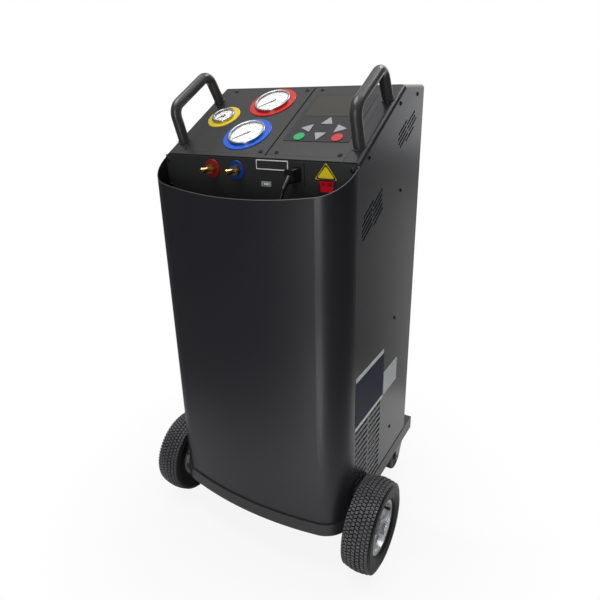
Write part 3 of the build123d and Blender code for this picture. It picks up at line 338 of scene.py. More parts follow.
valve_rubber = finish("valve rubber", (0.010, 0.010, 0.011), 0.45, depth=0.00002, dust=0.05)
stem_section = [(-0.0060, 0.0), (-0.0060, 0.0042), (-0.0010, 0.0044), (0.0010, 0.0030), (0.0120, 0.0026),
                (0.0122, 0.0034), (0.0190, 0.0034), (0.0196, 0.0028), (0.0196, 0.0)]
stem_out, stem_behind, stem_up = 0.0105, 0.031, 0.026
for side, out in sides:
    stem_place = Matrix.Translation(wheel_centre[side] + Vector((out * stem_out, stem_behind, stem_up)))
    if out < 0:
        stem_place = stem_place @ Matrix.Rotation(pi, 4, "Z")
    stem = placed(turned(stem_section, 20), stem_place)
    new_piece(side + "_valve_stem", stem, valve_rubber, side + "_wheel", 40)

# Casters: pressed and zinc plated forks under the platform, with small solid rubber wheels.
# They swivel on a ball race under a plate that is bolted to the platform.
caster_rubber = finish("caster rubber", (0.035, 0.035, 0.036), 0.55, grains=900.0, depth=0.00004, dust=0.15)
dress(caster_rubber, "left_caster_wheel", "right_caster_wheel")
dull_zinc = finish("dull zinc plate", (0.24, 0.24, 0.25), 0.42, metallic=0.9, grains=400.0, uneven=0.2,
                   dust=0.1)
dress(dull_zinc, "caster_plates", "left_caster_fork", "right_caster_fork")

# Cabinet: folded steel sheets in black powder paint, satin on the bowed front and glossier on the sides.
# The front is one bowed sheet, and each side panel carries its console strip and its slots.
front_paint = finish("front powder paint", (0.016, 0.016, 0.021), 0.34, dust=0.015)
side_paint = finish("side powder paint", (0.020, 0.020, 0.024), 0.26, depth=0.000006, uneven=0.05, dust=0.015)
dress(front_paint, "front_cover")
dress(side_paint, "left_side_panel", "right_side_panel", "back_panel")
console_paint = finish("console powder paint", (0.022, 0.021, 0.022), 0.34, dust=0.02)
dress(console_paint, "console_frame", "gauge_panel", "control_panel")

# Handles: bent steel tube in black powder paint, each on two welded feet.
# The paint is rubbed smoother on the grips than on the sheets.
# the handles' colour is lighter than the sheets' black paint: painted sheen standing in for the broad
# highlights on the grips
handle_paint_with_painted_sheen = finish("handle powder paint with painted sheen", (0.044, 0.041, 0.044), 0.38, grains=500.0, coat=0.4)
dress(handle_paint_with_painted_sheen, "left_handle", "right_handle")

# Console: everything on it is placed across, up the slope and out of the surface, from the front lip.
# The display window and the keys sit in a glossy printed film on the right panel.
console_high, console_deep = 0.123, 0.212
lip_height = 0.881
console_rise = atan2(console_high, console_deep)
lip = Vector((0.0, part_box("console_frame")[0].y, lip_height))
console = Matrix.Translation(lip) @ Matrix.Rotation(console_rise, 4, "X")


def add_outline(bm, points, low, high):
    """a flat outline given a thickness"""
    bottom = [bm.verts.new((x, y, low)) for x, y in points]
    top = [bm.verts.new((x, y, high)) for x, y in points]
    count = len(points)
    bm.faces.new(top)
    bm.faces.new(list(reversed(bottom)))
    for i in range(count):
        k = (i + 1) % count
        bm.faces.new((bottom[i], bottom[k], top[k], top[i]))


def rounded(x0, x1, y0, y1, radius, steps=6):
    """outline of a rectangle with round corners"""
    points = []
    for cx, cy, start in ((x1 - radius, y1 - radius, 0.0), (x0 + radius, y1 - radius, pi / 2),
                          (x0 + radius, y0 + radius, pi), (x1 - radius, y0 + radius, 1.5 * pi)):
        for i in range(steps + 1):
            a = start + i * pi / 2 / steps
            points.append((cx + radius * cos(a), cy + radius * sin(a)))
    return points


def add_frame(bm, outer, inner, low, high):
    """a flat ring between two outlines with as many points"""
    count = len(outer)
    rows = [[bm.verts.new((x, y, z)) for x, y in line] for line, z in
            ((outer, low), (outer, high), (inner, high), (inner, low))]
    for i in range(count):
        k = (i + 1) % count
        for a, b in ((0, 1), (1, 2), (2, 3), (3, 0)):
            bm.faces.new((rows[a][i], rows[a][k], rows[b][k], rows[b][i]))


film = finish("printed film", (0.010, 0.010, 0.012), 0.12, grains=300.0, depth=0.000004, uneven=0.05)
dress(film, "control_overlay")
film_top, window_thick, print_thick = 0.0008, 0.0003, 0.0001
display_glass = finish("display glass", (0.030, 0.026, 0.014), 0.08, depth=0.000002, grains=200.0, dust=0.02)
display = bmesh.new()
add_outline(display, rounded(0.047, 0.150, 0.135, 0.206, 0.003), film_top, film_top + window_thick)
new_piece("display_window", placed(display, console), display_glass)
film_line = finish("printed grey line", (0.045, 0.045, 0.048), 0.30, grains=300.0, depth=0.000004)
border = bmesh.new()
add_frame(border, rounded(0.0405, 0.1735, 0.0565, 0.2095, 0.0035),
          rounded(0.0412, 0.1728, 0.0572, 0.2088, 0.003), film_top, film_top + print_thick)
new_piece("film_border", placed(border, console), film_line)

# Joint strip: a thin black strip laid in the joint between the gauge panel and the control panel, as painted
# shadow for the gap there.
# It stands a hair above the paint.
joint_shadow_black = finish("black painted joint shadow", (0.004, 0.004, 0.004), 0.60, grains=900.0, depth=0.00002, dust=0.0,
                      shine=0.08)
strip_bottom, strip_top = -0.0004, 0.00025
painted_joint_shadow_strip = bmesh.new()
add_outline(painted_joint_shadow_strip, rounded(0.0224, 0.0256, 0.0070, 0.2380, 0.0006), strip_bottom, strip_top)
new_piece("painted_joint_shadow_strip", placed(painted_joint_shadow_strip, console), joint_shadow_black)

# Keys: moulded caps that stand through the film, four grey arrows and two round ones.
# Green starts and red stops.
def clean_finish(name, colour, roughness, **others):
    """a smooth finish that holds no dust"""
    return finish(name, colour, roughness, depth=0.00001, dust=0.0, **others)


key_grey = finish("grey key", (0.35, 0.345, 0.35), 0.40, depth=0.00001)
key_green = clean_finish("green key", (0.004, 0.40, 0.11), 0.40)
key_red = clean_finish("red key", (0.62, 0.015, 0.015), 0.40)
dress(key_grey, "up_key", "down_key", "left_key", "right_key")
dress(key_green, "start_key")
dress(key_red, "stop_key")

# Gauges: rolled steel cases with a white printed dial, a black pointer and a glass, in coloured collars.
# The numbers and ticks are printed on the dial, clockwise from the lower left over three quarters of a turn.
gauge_steel = clean_finish("rolled gauge steel", (0.55, 0.54, 0.55), 0.22, metallic=1.0, grains=300.0)
# dark grey for the cases' inner walls: painted shade
case_wall_painted_shade = finish("inner case painted shade", (0.13, 0.13, 0.14), 0.45, depth=0.00001)
dial_white = finish("dial enamel", (0.80, 0.80, 0.79), 0.40, depth=0.00001, dust=0.03)
dial_ink = finish("dial ink", (0.02, 0.02, 0.022), 0.45, depth=0.00001)
red_plastic = clean_finish("red collar", (0.66, 0.010, 0.008), 0.34)
blue_plastic = clean_finish("blue collar", (0.003, 0.110, 0.68), 0.34)
yellow_plastic = clean_finish("yellow collar", (0.80, 0.60, 0.020), 0.34)
pointer_black = finish("pointer black", (0.015, 0.015, 0.016), 0.4, depth=0.00001)
dress(gauge_steel, "gauge_cases")
dress(dial_white, "gauge_dials")
dress(red_plastic, "high_gauge_ring")
dress(blue_plastic, "low_gauge_ring")
dress(yellow_plastic, "tank_gauge_ring")
dress(pointer_black, "high_needle", "low_needle", "tank_needle")
gauge_glass = bpy.data.materials.new("gauge glass")
gauge_glass.use_nodes = True
glass_shader = gauge_glass.node_tree.nodes["Principled BSDF"]
for socket, value in (("Base Color", (0.97, 0.98, 0.98, 1.0)), ("Roughness", 0.02), ("IOR", 1.45),
                      ("Transmission Weight", 1.0)):
    glass_shader.inputs[socket].default_value = value
new, link = gauge_glass.node_tree.nodes.new, gauge_glass.node_tree.links.new
clear = new("ShaderNodeBsdfTransparent")
glass_ray = new("ShaderNodeLightPath")
lets_light_in = new("ShaderNodeMixShader")
link(glass_ray.outputs["Is Shadow Ray"], lets_light_in.inputs[0])
link(glass_shader.outputs[0], lets_light_in.inputs[1])
link(clear.outputs[0], lets_light_in.inputs[2])
link(lets_light_in.outputs[0], gauge_glass.node_tree.nodes["Material Output"].inputs["Surface"])
dress(gauge_glass, "gauge_lenses")
dial_level, case_edge, ink_thick = 0.0022, 0.0048, 0.00008
sweep_start, sweep = radians(135), radians(270)
# the print's places and sizes as shares of the dial's radius
long_tick, short_tick, tick_end = 0.76, 0.83, 0.91
number_ring, number_size, unit_drop, unit_size = 0.62, 0.21, 0.42, 0.16
band_inner, band_outer, band_start = 0.86, 0.92, 0.78


def add_text(bm, words, size, matrix):
    """printed characters, centred, as a thin raised shape"""
    curve = bpy.data.curves.new("print", "FONT")
    curve.body = words
    curve.size = size
    curve.extrude = 0.00004
    curve.resolution_u = 3
    curve.align_x = "CENTER"
    curve.align_y = "CENTER"
    writer = in_scene("print", curve)
    shape = bpy.data.meshes.new_from_object(writer.evaluated_get(bpy.context.evaluated_depsgraph_get()))
    shape.transform(matrix)
    bm.from_mesh(shape)
    bpy.data.objects.remove(writer)


def add_band(bm, inner, outer, first, last, low, high, steps=40):
    """part of a flat ring between two angles"""
    turns = [first + (last - first) * i / steps for i in range(steps + 1)]
    points = [(-outer * sin(a), outer * cos(a)) for a in turns]
    points += [(-inner * sin(a), inner * cos(a)) for a in reversed(turns)]
    rows = [[bm.verts.new((x, y, z)) for x, y in points] for z in (low, high)]
    count = len(points)
    for i in range(count):
        k = (i + 1) % count
        bm.faces.new((rows[0][i], rows[0][k], rows[1][k], rows[1][i]))
    for i in range(steps):
        j = count - 1 - i
        bm.faces.new((rows[1][i], rows[1][i + 1], rows[1][j - 1], rows[1][j]))
        bm.faces.new((rows[0][i + 1], rows[0][i], rows[0][j], rows[0][j - 1]))


# each gauge's place across and up the slope, its dial's radius, its numbers and the colour of its band
gauges = [("high", -0.054, 0.185, 0.0368, ["0", "5", "10", "15", "20", "25", "30", "35"], red_plastic),
          ("low", -0.054, 0.071, 0.0368, ["0", "2", "4", "6", "8", "10", "12", "15"], blue_plastic),
          ("tank", -0.150, 0.130, 0.0228, ["0", "10", "20", "30", "40"], red_plastic)]
bead_angles = [pi * i / 8 for i in range(9)]
for gauge, across, up, dial, numbers, band_colour in gauges:
    at = console @ Matrix.Translation((across, up, dial_level))
    steps = (len(numbers) - 1) * 5
    ticks = []
    for count, inner, width in ((len(numbers), long_tick, 0.0009), (steps + 1, short_tick, 0.00035)):
        mark = bmesh.new()
        add_block(mark, (-width / 2, dial * inner, 0.0), (width / 2, dial * tick_end, ink_thick))
        ticks.append(grown(ring_of_copies, mark, {
            "Copies": count, "First angle": sweep_start, "Angle step": -sweep / (count - 1),
            "Axis": (0.0, 0.0, 1.0), "Finish": dial_ink}))
    marks = joined(ticks)
    marks.transform(at)
    new_piece(gauge + "_dial_ticks", marks, dial_ink)
    figures = bmesh.new()
    for i, number in enumerate(numbers):
        a = sweep_start - sweep * i / (len(numbers) - 1)
        spot = Matrix.Translation((-sin(a) * dial * number_ring, cos(a) * dial * number_ring, 0.00005))
        add_text(figures, number, dial * number_size, at @ spot)
    add_text(figures, "bar", dial * unit_size, at @ Matrix.Translation((0, -dial * unit_drop, 0.00005)))
    new_piece(gauge + "_dial_numbers", figures, dial_ink)
    warning = bmesh.new()
    add_band(warning, dial * band_inner, dial * band_outer, sweep_start - sweep * band_start,
             sweep_start - sweep, 0.0, 0.00006)
    new_piece(gauge + "_dial_band", placed(warning, at), band_colour)
    upward = console @ Matrix.Translation((across, up, 0.0)) @ Matrix.Rotation(-pi / 2, 4, "Y")
    # the inner wall of the case between dial and glass, dark grey as painted shade on the wall
    lining = turned([(dial_level, dial - 0.0019), (dial_level, dial - 0.0006), (case_edge, dial - 0.0006),
                     (case_edge, dial - 0.0019)])
    new_piece(gauge + "_case_shade_ring", placed(lining, upward), case_wall_painted_shade, smooth=40)
    bead = [(0.0062 + 0.0016 * sin(a), dial + 0.0008 - 0.0021 * cos(a)) for a in bead_angles]
    rolled = turned([*bead, (0.0050, dial + 0.0029), (0.0050, dial + 0.0022)])
    new_piece(gauge + "_rolled_edge", placed(rolled, upward), gauge_steel, smooth=50)

# Screws: black pan heads with a cross recess, two dozen round the sheets and eight on the console.
# One head is cut by node geometry and set at every screw's place, turned a little at random.
screw_black = finish("black screw", (0.012, 0.012, 0.013), 0.35, metallic=0.6, depth=0.00001)


def make_cross_screws():
    """node tree: a pan head with a cross recess on every vertex, facing as the vertex says"""
    tree, new, link, given = open_tree("cross head screws", (
        ("Head radius", "Float"), ("Head height", "Float"), ("Recess length", "Float"),
        ("Recess width", "Float")))
    ball = new("GeometryNodeMeshUVSphere")
    ball.inputs["Segments"].default_value = 20
    ball.inputs["Rings"].default_value = 10
    ball.inputs["Radius"].default_value = 1.0
    size = new("ShaderNodeCombineXYZ")
    for socket, source in (("X", "Head radius"), ("Y", "Head radius"), ("Z", "Head height")):
        link(given.outputs[source], size.inputs[socket])
    head = new("GeometryNodeTransform")
    link(ball.outputs[0], head.inputs["Geometry"])
    link(size.outputs[0], head.inputs["Scale"])
    cutters = new("GeometryNodeJoinGeometry")
    for across, along in (("Recess length", "Recess width"), ("Recess width", "Recess length")):
        bar_size = new("ShaderNodeCombineXYZ")
        link(given.outputs[across], bar_size.inputs["X"])
        link(given.outputs[along], bar_size.inputs["Y"])
        link(given.outputs["Head height"], bar_size.inputs["Z"])
        bar = new("GeometryNodeMeshCube")
        link(bar_size.outputs[0], bar.inputs["Size"])
        lift = new("ShaderNodeCombineXYZ")
        link(given.outputs["Head height"], lift.inputs["Z"])
        raised = new("GeometryNodeTransform")
        link(bar.outputs[0], raised.inputs["Geometry"])
        link(lift.outputs[0], raised.inputs["Translation"])
        link(raised.outputs[0], cutters.inputs[0])
    below = new("GeometryNodeMeshCube")
    below.inputs["Size"].default_value = (0.1, 0.1, 0.1)
    sunk = new("GeometryNodeTransform")
    sunk.inputs["Translation"].default_value = (0.0, 0.0, -0.05)
    link(below.outputs[0], sunk.inputs["Geometry"])
    link(sunk.outputs[0], cutters.inputs[0])
    cut = new("GeometryNodeMeshBoolean")
    cut.operation = "DIFFERENCE"
    cut.solver = "EXACT"
    link(head.outputs[0], cut.inputs[0])
    link(cutters.outputs[0], cut.inputs[1])
    next(i for i in cut.inputs if i.name == "Self Intersection").default_value = True
    facing = new("GeometryNodeInputNamedAttribute")
    facing.data_type = "FLOAT_VECTOR"
    facing.inputs["Name"].default_value = "facing"
    aim = new("FunctionNodeAlignRotationToVector")
    aim.axis = "Z"
    link(facing.outputs[0], aim.inputs["Vector"])
    spin = new("FunctionNodeRandomValue")
    spin.data_type = "FLOAT_VECTOR"
    spin.inputs[0].default_value = (0.0, 0.0, 0.0)
    spin.inputs[1].default_value = (0.0, 0.0, pi / 2)
    spin.inputs["Seed"].default_value = 7
    local = new("FunctionNodeEulerToRotation")
    link(spin.outputs[0], local.inputs[0])
    turn = new("FunctionNodeRotateRotation")
    turn.rotation_space = "LOCAL"
    link(aim.outputs[0], turn.inputs["Rotation"])
    link(local.outputs[0], turn.inputs["Rotate By"])
    copies = new("GeometryNodeInstanceOnPoints")
    link(given.outputs["Geometry"], copies.inputs["Points"])
    link(cut.outputs[0], copies.inputs["Instance"])
    link(turn.outputs[0], copies.inputs["Rotation"])
    return close_tree(tree, given, copies)


side_x, panel_screw_x, back_screw_x = 0.220, 0.210, 0.194
back_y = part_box("back_panel")[1].y
panel_y = lip.y - 0.006
console_normal = console.to_3x3() @ Vector((0, 0, 1))
screws = [(console @ Vector((x, s, 0)), console_normal)
          for x in (-0.176, 0.009, 0.045, 0.176) for s in (0.0175, 0.230)]
side_screws = ((0.285, 0.985), (0.187, 0.970), (0.210, 0.800), (0.042, 0.885), (0.210, 0.511), (0.210, 0.218))
for depth, height in side_screws:
    for side, out in sides:
        screws.append((Vector((out * side_x, lip.y + depth, height)), Vector((out, 0, 0))))
for side, out in sides:
    for height in (0.868, 0.816):
        screws.append((Vector((out * panel_screw_x, panel_y, height)), Vector((0, -1, 0))))
    for height in (0.180, 0.4433, 0.7067, 0.970):
        screws.append((Vector((out * back_screw_x, back_y, height)), Vector((0, 1, 0))))
places = bpy.data.meshes.new("screw places")
places.from_pydata([point for point, way in screws], [], [])
facing = places.attributes.new("facing", "FLOAT_VECTOR", "POINT")
for i, (point, way) in enumerate(screws):
    facing.data[i].vector = way
heads = grown(make_cross_screws(), places, {
    "Head radius": 0.0046, "Head height": 0.0022, "Recess length": 0.0052, "Recess width": 0.0011,
    "Finish": screw_black})
head_piece = new_piece("cross_screw_heads", heads, screw_black, smooth=40)
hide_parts("panel_screws")

# Connection panel: a moulded plate in grained black plastic behind the cover's rim.
# A white-framed plate and a yellow triangle are stuck on it, both left bare.
moulded = finish("grained moulding", (0.018, 0.019, 0.020), 0.50, grains=1200.0, depth=0.00005)
dress(moulded, "connection_panel", "power_inlet", "switch_housing")
panel_front = Matrix.Translation((0, panel_y, 0)) @ Matrix.Rotation(pi / 2, 4, "X")
label_white = clean_finish("white print", (0.90, 0.90, 0.89), 0.40)
label_dark = finish("dark plate", (0.030, 0.030, 0.026), 0.35, depth=0.00001)
sign_yellow = clean_finish("yellow sign film", (0.90, 0.72, 0.005), 0.38)
sign_black = finish("black sign print", (0.015, 0.015, 0.015), 0.38, depth=0.00001)
plate = bmesh.new()
add_outline(plate, rounded(0.0125, 0.0815, 0.8610, 0.8780, 0.0015), 0.0, 0.0006)
new_piece("framed_plate", placed(plate, panel_front), label_dark)
rim_line = bmesh.new()
add_frame(rim_line, rounded(0.0120, 0.0820, 0.8605, 0.8785, 0.0018),
          rounded(0.0137, 0.0803, 0.8622, 0.8768, 0.0008), 0.0, 0.0010)
new_piece("framed_plate_edge", placed(rim_line, panel_front), label_white)
triangle_x, triangle_z = 0.159, 0.8492
triangle_half, triangle_height = 0.0222, 0.0300


def triangle(inset, radius=0.0022, steps=5):
    """outline of the upright triangle with round corners, drawn in by an inset"""
    half = triangle_half - inset * 1.73
    tall = triangle_height - inset * 3
    foot = triangle_z + inset
    corners = [Vector((triangle_x - half, foot)), Vector((triangle_x + half, foot)),
               Vector((triangle_x, foot + tall))]
    points = []
    for i, corner in enumerate(corners):
        before = (corners[i - 1] - corner).normalized()
        after = (corners[(i + 1) % 3] - corner).normalized()
        for k in range(steps + 1):
            t = k / steps
            points.append(tuple(corner + radius * 1.7 * ((1 - t) ** 2 * before + t ** 2 * after)))
    return points


sign = bmesh.new()
add_outline(sign, triangle(0.0), 0.0, 0.0005)
new_piece("yellow_triangle", placed(sign, panel_front), sign_yellow)
sign_edge = bmesh.new()
add_frame(sign_edge, triangle(0.0008), triangle(0.0029), 0.0005, 0.0006)
new_piece("yellow_triangle_edge", placed(sign_edge, panel_front), sign_black)

# Mains switch: a red moulded rocker in a black bezel, with a line and a circle printed on its upper half.
# The print rides on the rocker, which tips about its cross pin and stands out at the top.
rocker_red = clean_finish("red rocker", (0.92, 0.012, 0.030), 0.30, coat=0.3)
rocker_ink = clean_finish("rocker print", (0.16, 0.004, 0.004), 0.40)
dress(rocker_red, "mains_rocker")
rocker_tip = radians(9.0)
rocker_slope = atan2(0.0010, 0.0093)
rocker_pin = Vector((0.161, panel_y + 0.004, 0.838))
ink_bottom, ink_top = 0.00001, 0.00012
rocker_face = (Matrix.Translation(rocker_pin) @ Matrix.Rotation(rocker_tip, 4, "X")
               @ Matrix.Translation((0.0, -0.0048, 0.0)) @ Matrix.Rotation(pi / 2 + rocker_slope, 4, "X"))
signs = bmesh.new()
add_outline(signs, rounded(-0.0075, -0.0057, 0.0020, 0.0080, 0.0003), ink_bottom, ink_top)
outer_ring, inner_ring = ([(0.0065 + r * cos(pi * i / 16), 0.0050 + r * sin(pi * i / 16)) for i in range(32)]
                          for r in (0.0031, 0.0015))
add_frame(signs, outer_ring, inner_ring, ink_bottom, ink_top)
new_piece("rocker_print", placed(signs, rocker_face), rocker_ink, "power_rocker")

# Data socket: a bright plated shell and frame, with a white moulded tongue inside.
# The tongue stands a little back from the mouth.
socket_silver = finish("bright socket plate", (0.80, 0.80, 0.81), 0.30, metallic=0.6, grains=300.0,
                       depth=0.00001)
socket_white = clean_finish("white socket moulding", (0.86, 0.86, 0.84), 0.35)
dress(socket_silver, "usb_socket")
tongue = bmesh.new()
add_block(tongue, (0.0272, panel_y - 0.0004, 0.8320), (0.0388, panel_y + 0.012, 0.8362))
new_piece("data_socket_tongue", tongue, socket_white)

# Service ports: turned brass stubs, each held by a blackened nut on a red or a blue plastic washer.
# Fine thread turns are cut near the open end.
port_brass = clean_finish("turned brass", (0.72, 0.50, 0.20), 0.24, metallic=1.0, grains=300.0)
dress(port_brass, "service_ports", "valve_manifold")
red_washer = finish("red washer", (0.26, 0.006, 0.006), 0.40, depth=0.00002, dust=0.0)
blue_washer_plastic = finish("blue washer", (0.003, 0.040, 0.26), 0.40, depth=0.00002, dust=0.0)
dress(red_washer, "port_washers")
port_height = 0.856
thread_radius, thread_cut = 0.00555, 0.0001
thread_turns, thread_pitch = 13, 0.001
thread_reach = 0.0265
port_across = {"high": -0.094, "low": -0.034}
for word, port_x in port_across.items():
    section = []
    for i in range(thread_turns):
        section += [(i * thread_pitch - 0.0064, thread_radius - thread_cut),
                    (i * thread_pitch - 0.0060, thread_radius + thread_cut)]
    thread = turned([(-0.0065, 0.0045), *section, (0.0065, 0.0045)], 32)
    at = Matrix.Translation((port_x, panel_y - thread_reach, port_height)) @ Matrix.Rotation(pi / 2, 4, "Z")
    new_piece(word + "_port_thread", placed(thread, at), port_brass, smooth=50)
washer_section = [(-0.0010, 0.0064), (-0.0010, 0.0180), (0.0004, 0.0182), (0.0011, 0.0176), (0.0011, 0.0064)]
washer_place = Matrix.Translation((port_across["low"], panel_y - 0.0010, port_height))
blue_washer = placed(turned(washer_section, 48), washer_place @ Matrix.Rotation(-pi / 2, 4, "Z"))
new_piece("blue_port_washer", blue_washer, blue_washer_plastic, smooth=40)
nut_black = finish("blackened nut", (0.020, 0.018, 0.018), 0.35, metallic=0.5, depth=0.00001)
nut_section = [(0.0010, 0.0066), (0.0010, 0.0105), (0.0026, 0.0105), (0.0032, 0.0098), (0.0032, 0.0066)]
for word, port_x in port_across.items():
    at = Matrix.Translation((port_x, panel_y, port_height)) @ Matrix.Rotation(-pi / 2, 4, "Z")
    new_piece(word + "_port_nut", placed(turned(nut_section, 6), at), nut_black)

# Mains lead: a 7 mm black sheathed lead, 1.8 m long, from the angled connector down into the pocket.
# A ribbed sleeve guards it at the connector. The spare length is wound into a coil that stands in the pocket
# beside its plug, held by a tie.
sheath = clean_finish("black sheath", (0.007, 0.007, 0.008), 0.27, grains=600.0)
dress(sheath, "lead_connector", "mains_plug")
lead_radius = 0.0035
pocket_floor = 0.700
inlet_x, inlet_z = 0.102, 0.856
coil_x, coil_y = 0.022, lip.y - 0.044
coil_outer, coil_inner = 0.0385, 0.0315
coil_z = pocket_floor + 0.0425
lead_pitch = 2 * lead_radius
free_start = [
    (inlet_x, -0.047, inlet_z - 0.011), (inlet_x - 0.0005, -0.056, inlet_z - 0.020),
    (inlet_x - 0.003, -0.063, inlet_z - 0.038), (inlet_x - 0.008, -0.064, inlet_z - 0.066),
    (inlet_x - 0.015, -0.060, inlet_z - 0.092), (inlet_x - 0.031, -0.053, pocket_floor + 0.017),
    (inlet_x - 0.056, -0.047, pocket_floor + 0.006),
]
free_end = [
    (coil_x - 0.028, -0.044 + 0.0045, pocket_floor + 0.0044),
    (coil_x - 0.050, -0.044 + 0.0015, pocket_floor + 0.010),
    (-0.058, -0.044, pocket_floor + 0.0185),
]
turns, points_per_turn = 7, 16


def wound(t):
    """radius and row of the winding after t turns: down the outer layer, through the inner one and out"""
    rows = [(0.0, -0.5), (1.0, -0.5), (1.2, -1.5), (2.0, -1.5), (2.2, -0.5), (3.0, -0.5), (3.2, 0.5),
            (4.0, 0.5), (4.2, 1.5), (6.0, 1.5), (6.2, 0.5), (7.0, 0.5)]
    layers = [(0.0, coil_outer), (1.5, coil_outer), (1.7, coil_inner), (5.5, coil_inner), (5.7, coil_outer),
              (7.0, coil_outer)]

    def read(line):
        for (t0, v0), (t1, v1) in zip(line, line[1:]):
            if t <= t1:
                return v0 + (v1 - v0) * (t - t0) / (t1 - t0)
        return line[-1][1]
    return read(layers), read(rows) * lead_pitch


route = [(x, lip.y + y, z) for x, y, z in free_start]
spread = 2 / (1 + cos(pi / points_per_turn))
for i in range(turns * points_per_turn + 1):
    t = i / points_per_turn
    radius, row = wound(t)
    a = -pi / 2 - 2 * pi * t
    route.append((coil_x + radius * spread * cos(a), coil_y + row, coil_z + radius * spread * sin(a)))
route += [(x, lip.y + y, z) for x, y, z in free_end]
sleeve_start, sleeve_end = Vector(route[0]), Vector(route[1])
rib_count, rib_pitch, rib_height, rib_taper = 5, 0.0024, 0.0016, 0.0002
groove, bore = lead_radius + 0.0005, lead_radius - 0.0004
ribs = []
for i in range(rib_count):
    near = i * rib_pitch
    thick = lead_radius + rib_height - i * rib_taper
    ribs += [(near, groove), (near + 0.0003, thick), (near + 0.0015, thick), (near + 0.0018, groove)]
ribs += [(0.0122, groove), (0.0124, bore), (0.0, bore)]
sleeve = turned(ribs, 32)
lead_way = (sleeve_end - sleeve_start).normalized()
at = Matrix.Translation(sleeve_start) @ lead_way.to_track_quat("X", "Z").to_matrix().to_4x4()
new_piece("connector_sleeve", placed(sleeve, at), sheath, smooth=40)
lead_curve = bpy.data.curves.new("mains_lead_sheath", "CURVE")
lead_curve.dimensions = "3D"
lead_curve.bevel_depth = lead_radius
lead_curve.bevel_resolution = 4
lead_curve.resolution_u = 4
lead_curve.use_fill_caps = True
line = lead_curve.splines.new("NURBS")
line.points.add(len(route) - 1)
for point, place in zip(line.points, route):
    point.co = (*place, 1.0)
line.order_u = 3
line.use_endpoint_u = True
lead_curve.materials.append(sheath)
lead = in_scene("mains_lead_sheath", lead_curve)
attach(lead, "cabinet")
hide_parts("mains_lead", "mains_lead_coil")
tie = bmesh.new()
add_frame(tie, rounded(0.0266, 0.0434, -0.0154, 0.0154, 0.0030),
          rounded(0.0276, 0.0424, -0.0144, 0.0144, 0.0024), -0.0022, 0.0022)
add_block(tie, (0.0434, -0.0030, -0.0030), (0.0468, 0.0030, 0.0030))
tie_angle = radians(62)
tie_place = Matrix.Translation((coil_x, coil_y, coil_z)) @ Matrix.Rotation(-tie_angle, 4, "Y")
new_piece("coil_tie", placed(tie, tie_place), moulded)

# Side label: printed film panels on the right side, left bare, with a light head and foot strip.
# A light grey plate sits beside them.
label_navy = clean_finish("navy label film", (0.012, 0.018, 0.045), 0.55, shine=0.2)
label_grey = clean_finish("light label film", (0.74, 0.78, 0.77), 0.50, shine=0.3)
label_thick = 0.0004
right_face = (Matrix.Translation((side_x, lip.y, 0)) @ Matrix.Rotation(pi / 2, 4, "Z")
              @ Matrix.Rotation(pi / 2, 4, "X"))
for word, y0, y1, z0, z1, colour, slot in (
        ("label_head", 0.004, 0.150, 0.450, 0.460, label_white, "dial_white"),
        ("label_body", 0.002, 0.152, 0.343, 0.450, label_navy, "ring_blue"),
        ("label_foot", 0.003, 0.152, 0.335, 0.343, label_white, "dial_white"),
        ("label_plate", 0.155, 0.238, 0.338, 0.398, label_grey, "dial_white")):
    sheet = bmesh.new()
    add_outline(sheet, rounded(y0, y1, z0, z1, 0.002), 0.0, label_thick)
    new_piece(word, placed(sheet, right_face), colour)

# Inner parts: the bulkhead with its shelves, and the bought-in units that stand on them and under them.
# They are seen only through the slots and the grille, each in its own plain factory finish.
inner_zinc = finish("inner zinc sheet", (0.42, 0.43, 0.44), 0.40, metallic=0.8, grains=120.0)
dress(inner_zinc, "inner_bulkhead", "scale_platform", "power_supply", "fan_motor")
dress(finish("condenser aluminium", (0.55, 0.56, 0.57), 0.42, metallic=0.9, grains=200.0), "condenser")
dress(finish("fan plastic", (0.03, 0.03, 0.03), 0.5), "fan_blades")
dress(finish("compressor enamel", (0.02, 0.02, 0.02), 0.25), "compressor")
dress(finish("pump enamel", (0.03, 0.07, 0.20), 0.35), "vacuum_pump")
dress(finish("drier enamel", (0.30, 0.31, 0.33), 0.35), "filter_drier")
dress(finish("cylinder enamel", (0.38, 0.39, 0.41), 0.35), "refrigerant_cylinder")
dress(finish("board lacquer", (0.03, 0.14, 0.07), 0.35), "control_board")

# Floor: plain and pale, with the object's soft shadow on it, and pure white to the camera further out.
# To reflections its colour carries painted light: a painted pool of light, pale round where the object stands
# and dim beyond it, with a painted bright strip behind the object, one before it and a painted bright patch
# beside it.
floor_mesh = bmesh.new()
bmesh.ops.create_grid(floor_mesh, x_segments=1, y_segments=1, size=8.0)
floor_shape = bpy.data.meshes.new("studio_floor")
floor_mesh.to_mesh(floor_shape)
floor_mesh.free()
floor = in_scene("studio_floor", floor_shape)
floor_paint = bpy.data.materials.new("studio floor")
floor_paint.use_nodes = True
floor_shape.materials.append(floor_paint)
new, link = floor_paint.node_tree.nodes.new, floor_paint.node_tree.links.new
floor_shader = floor_paint.node_tree.nodes["Principled BSDF"]
floor_shader.inputs["Roughness"].default_value = 0.8
spot = new("ShaderNodeTexCoord")
reach = new("ShaderNodeVectorMath")
reach.operation = "LENGTH"
link(spot.outputs["Object"], reach.inputs[0])


def ramp(value, start, end, low, high):
    """a smooth step of one value in the node tree at hand"""
    step = new("ShaderNodeMapRange")
    step.interpolation_type = "SMOOTHSTEP"
    for name, number in (("From Min", start), ("From Max", end), ("To Min", low), ("To Max", high)):
        step.inputs[name].default_value = number
    link(value, step.inputs["Value"])
    return step.outputs[0]


def reckon(operation, first, second):
    """two values of the node tree at hand put together"""
    step = new("ShaderNodeMath")
    step.operation = operation
    link(first, step.inputs[0])
    link(second, step.inputs[1])
    return step.outputs[0]


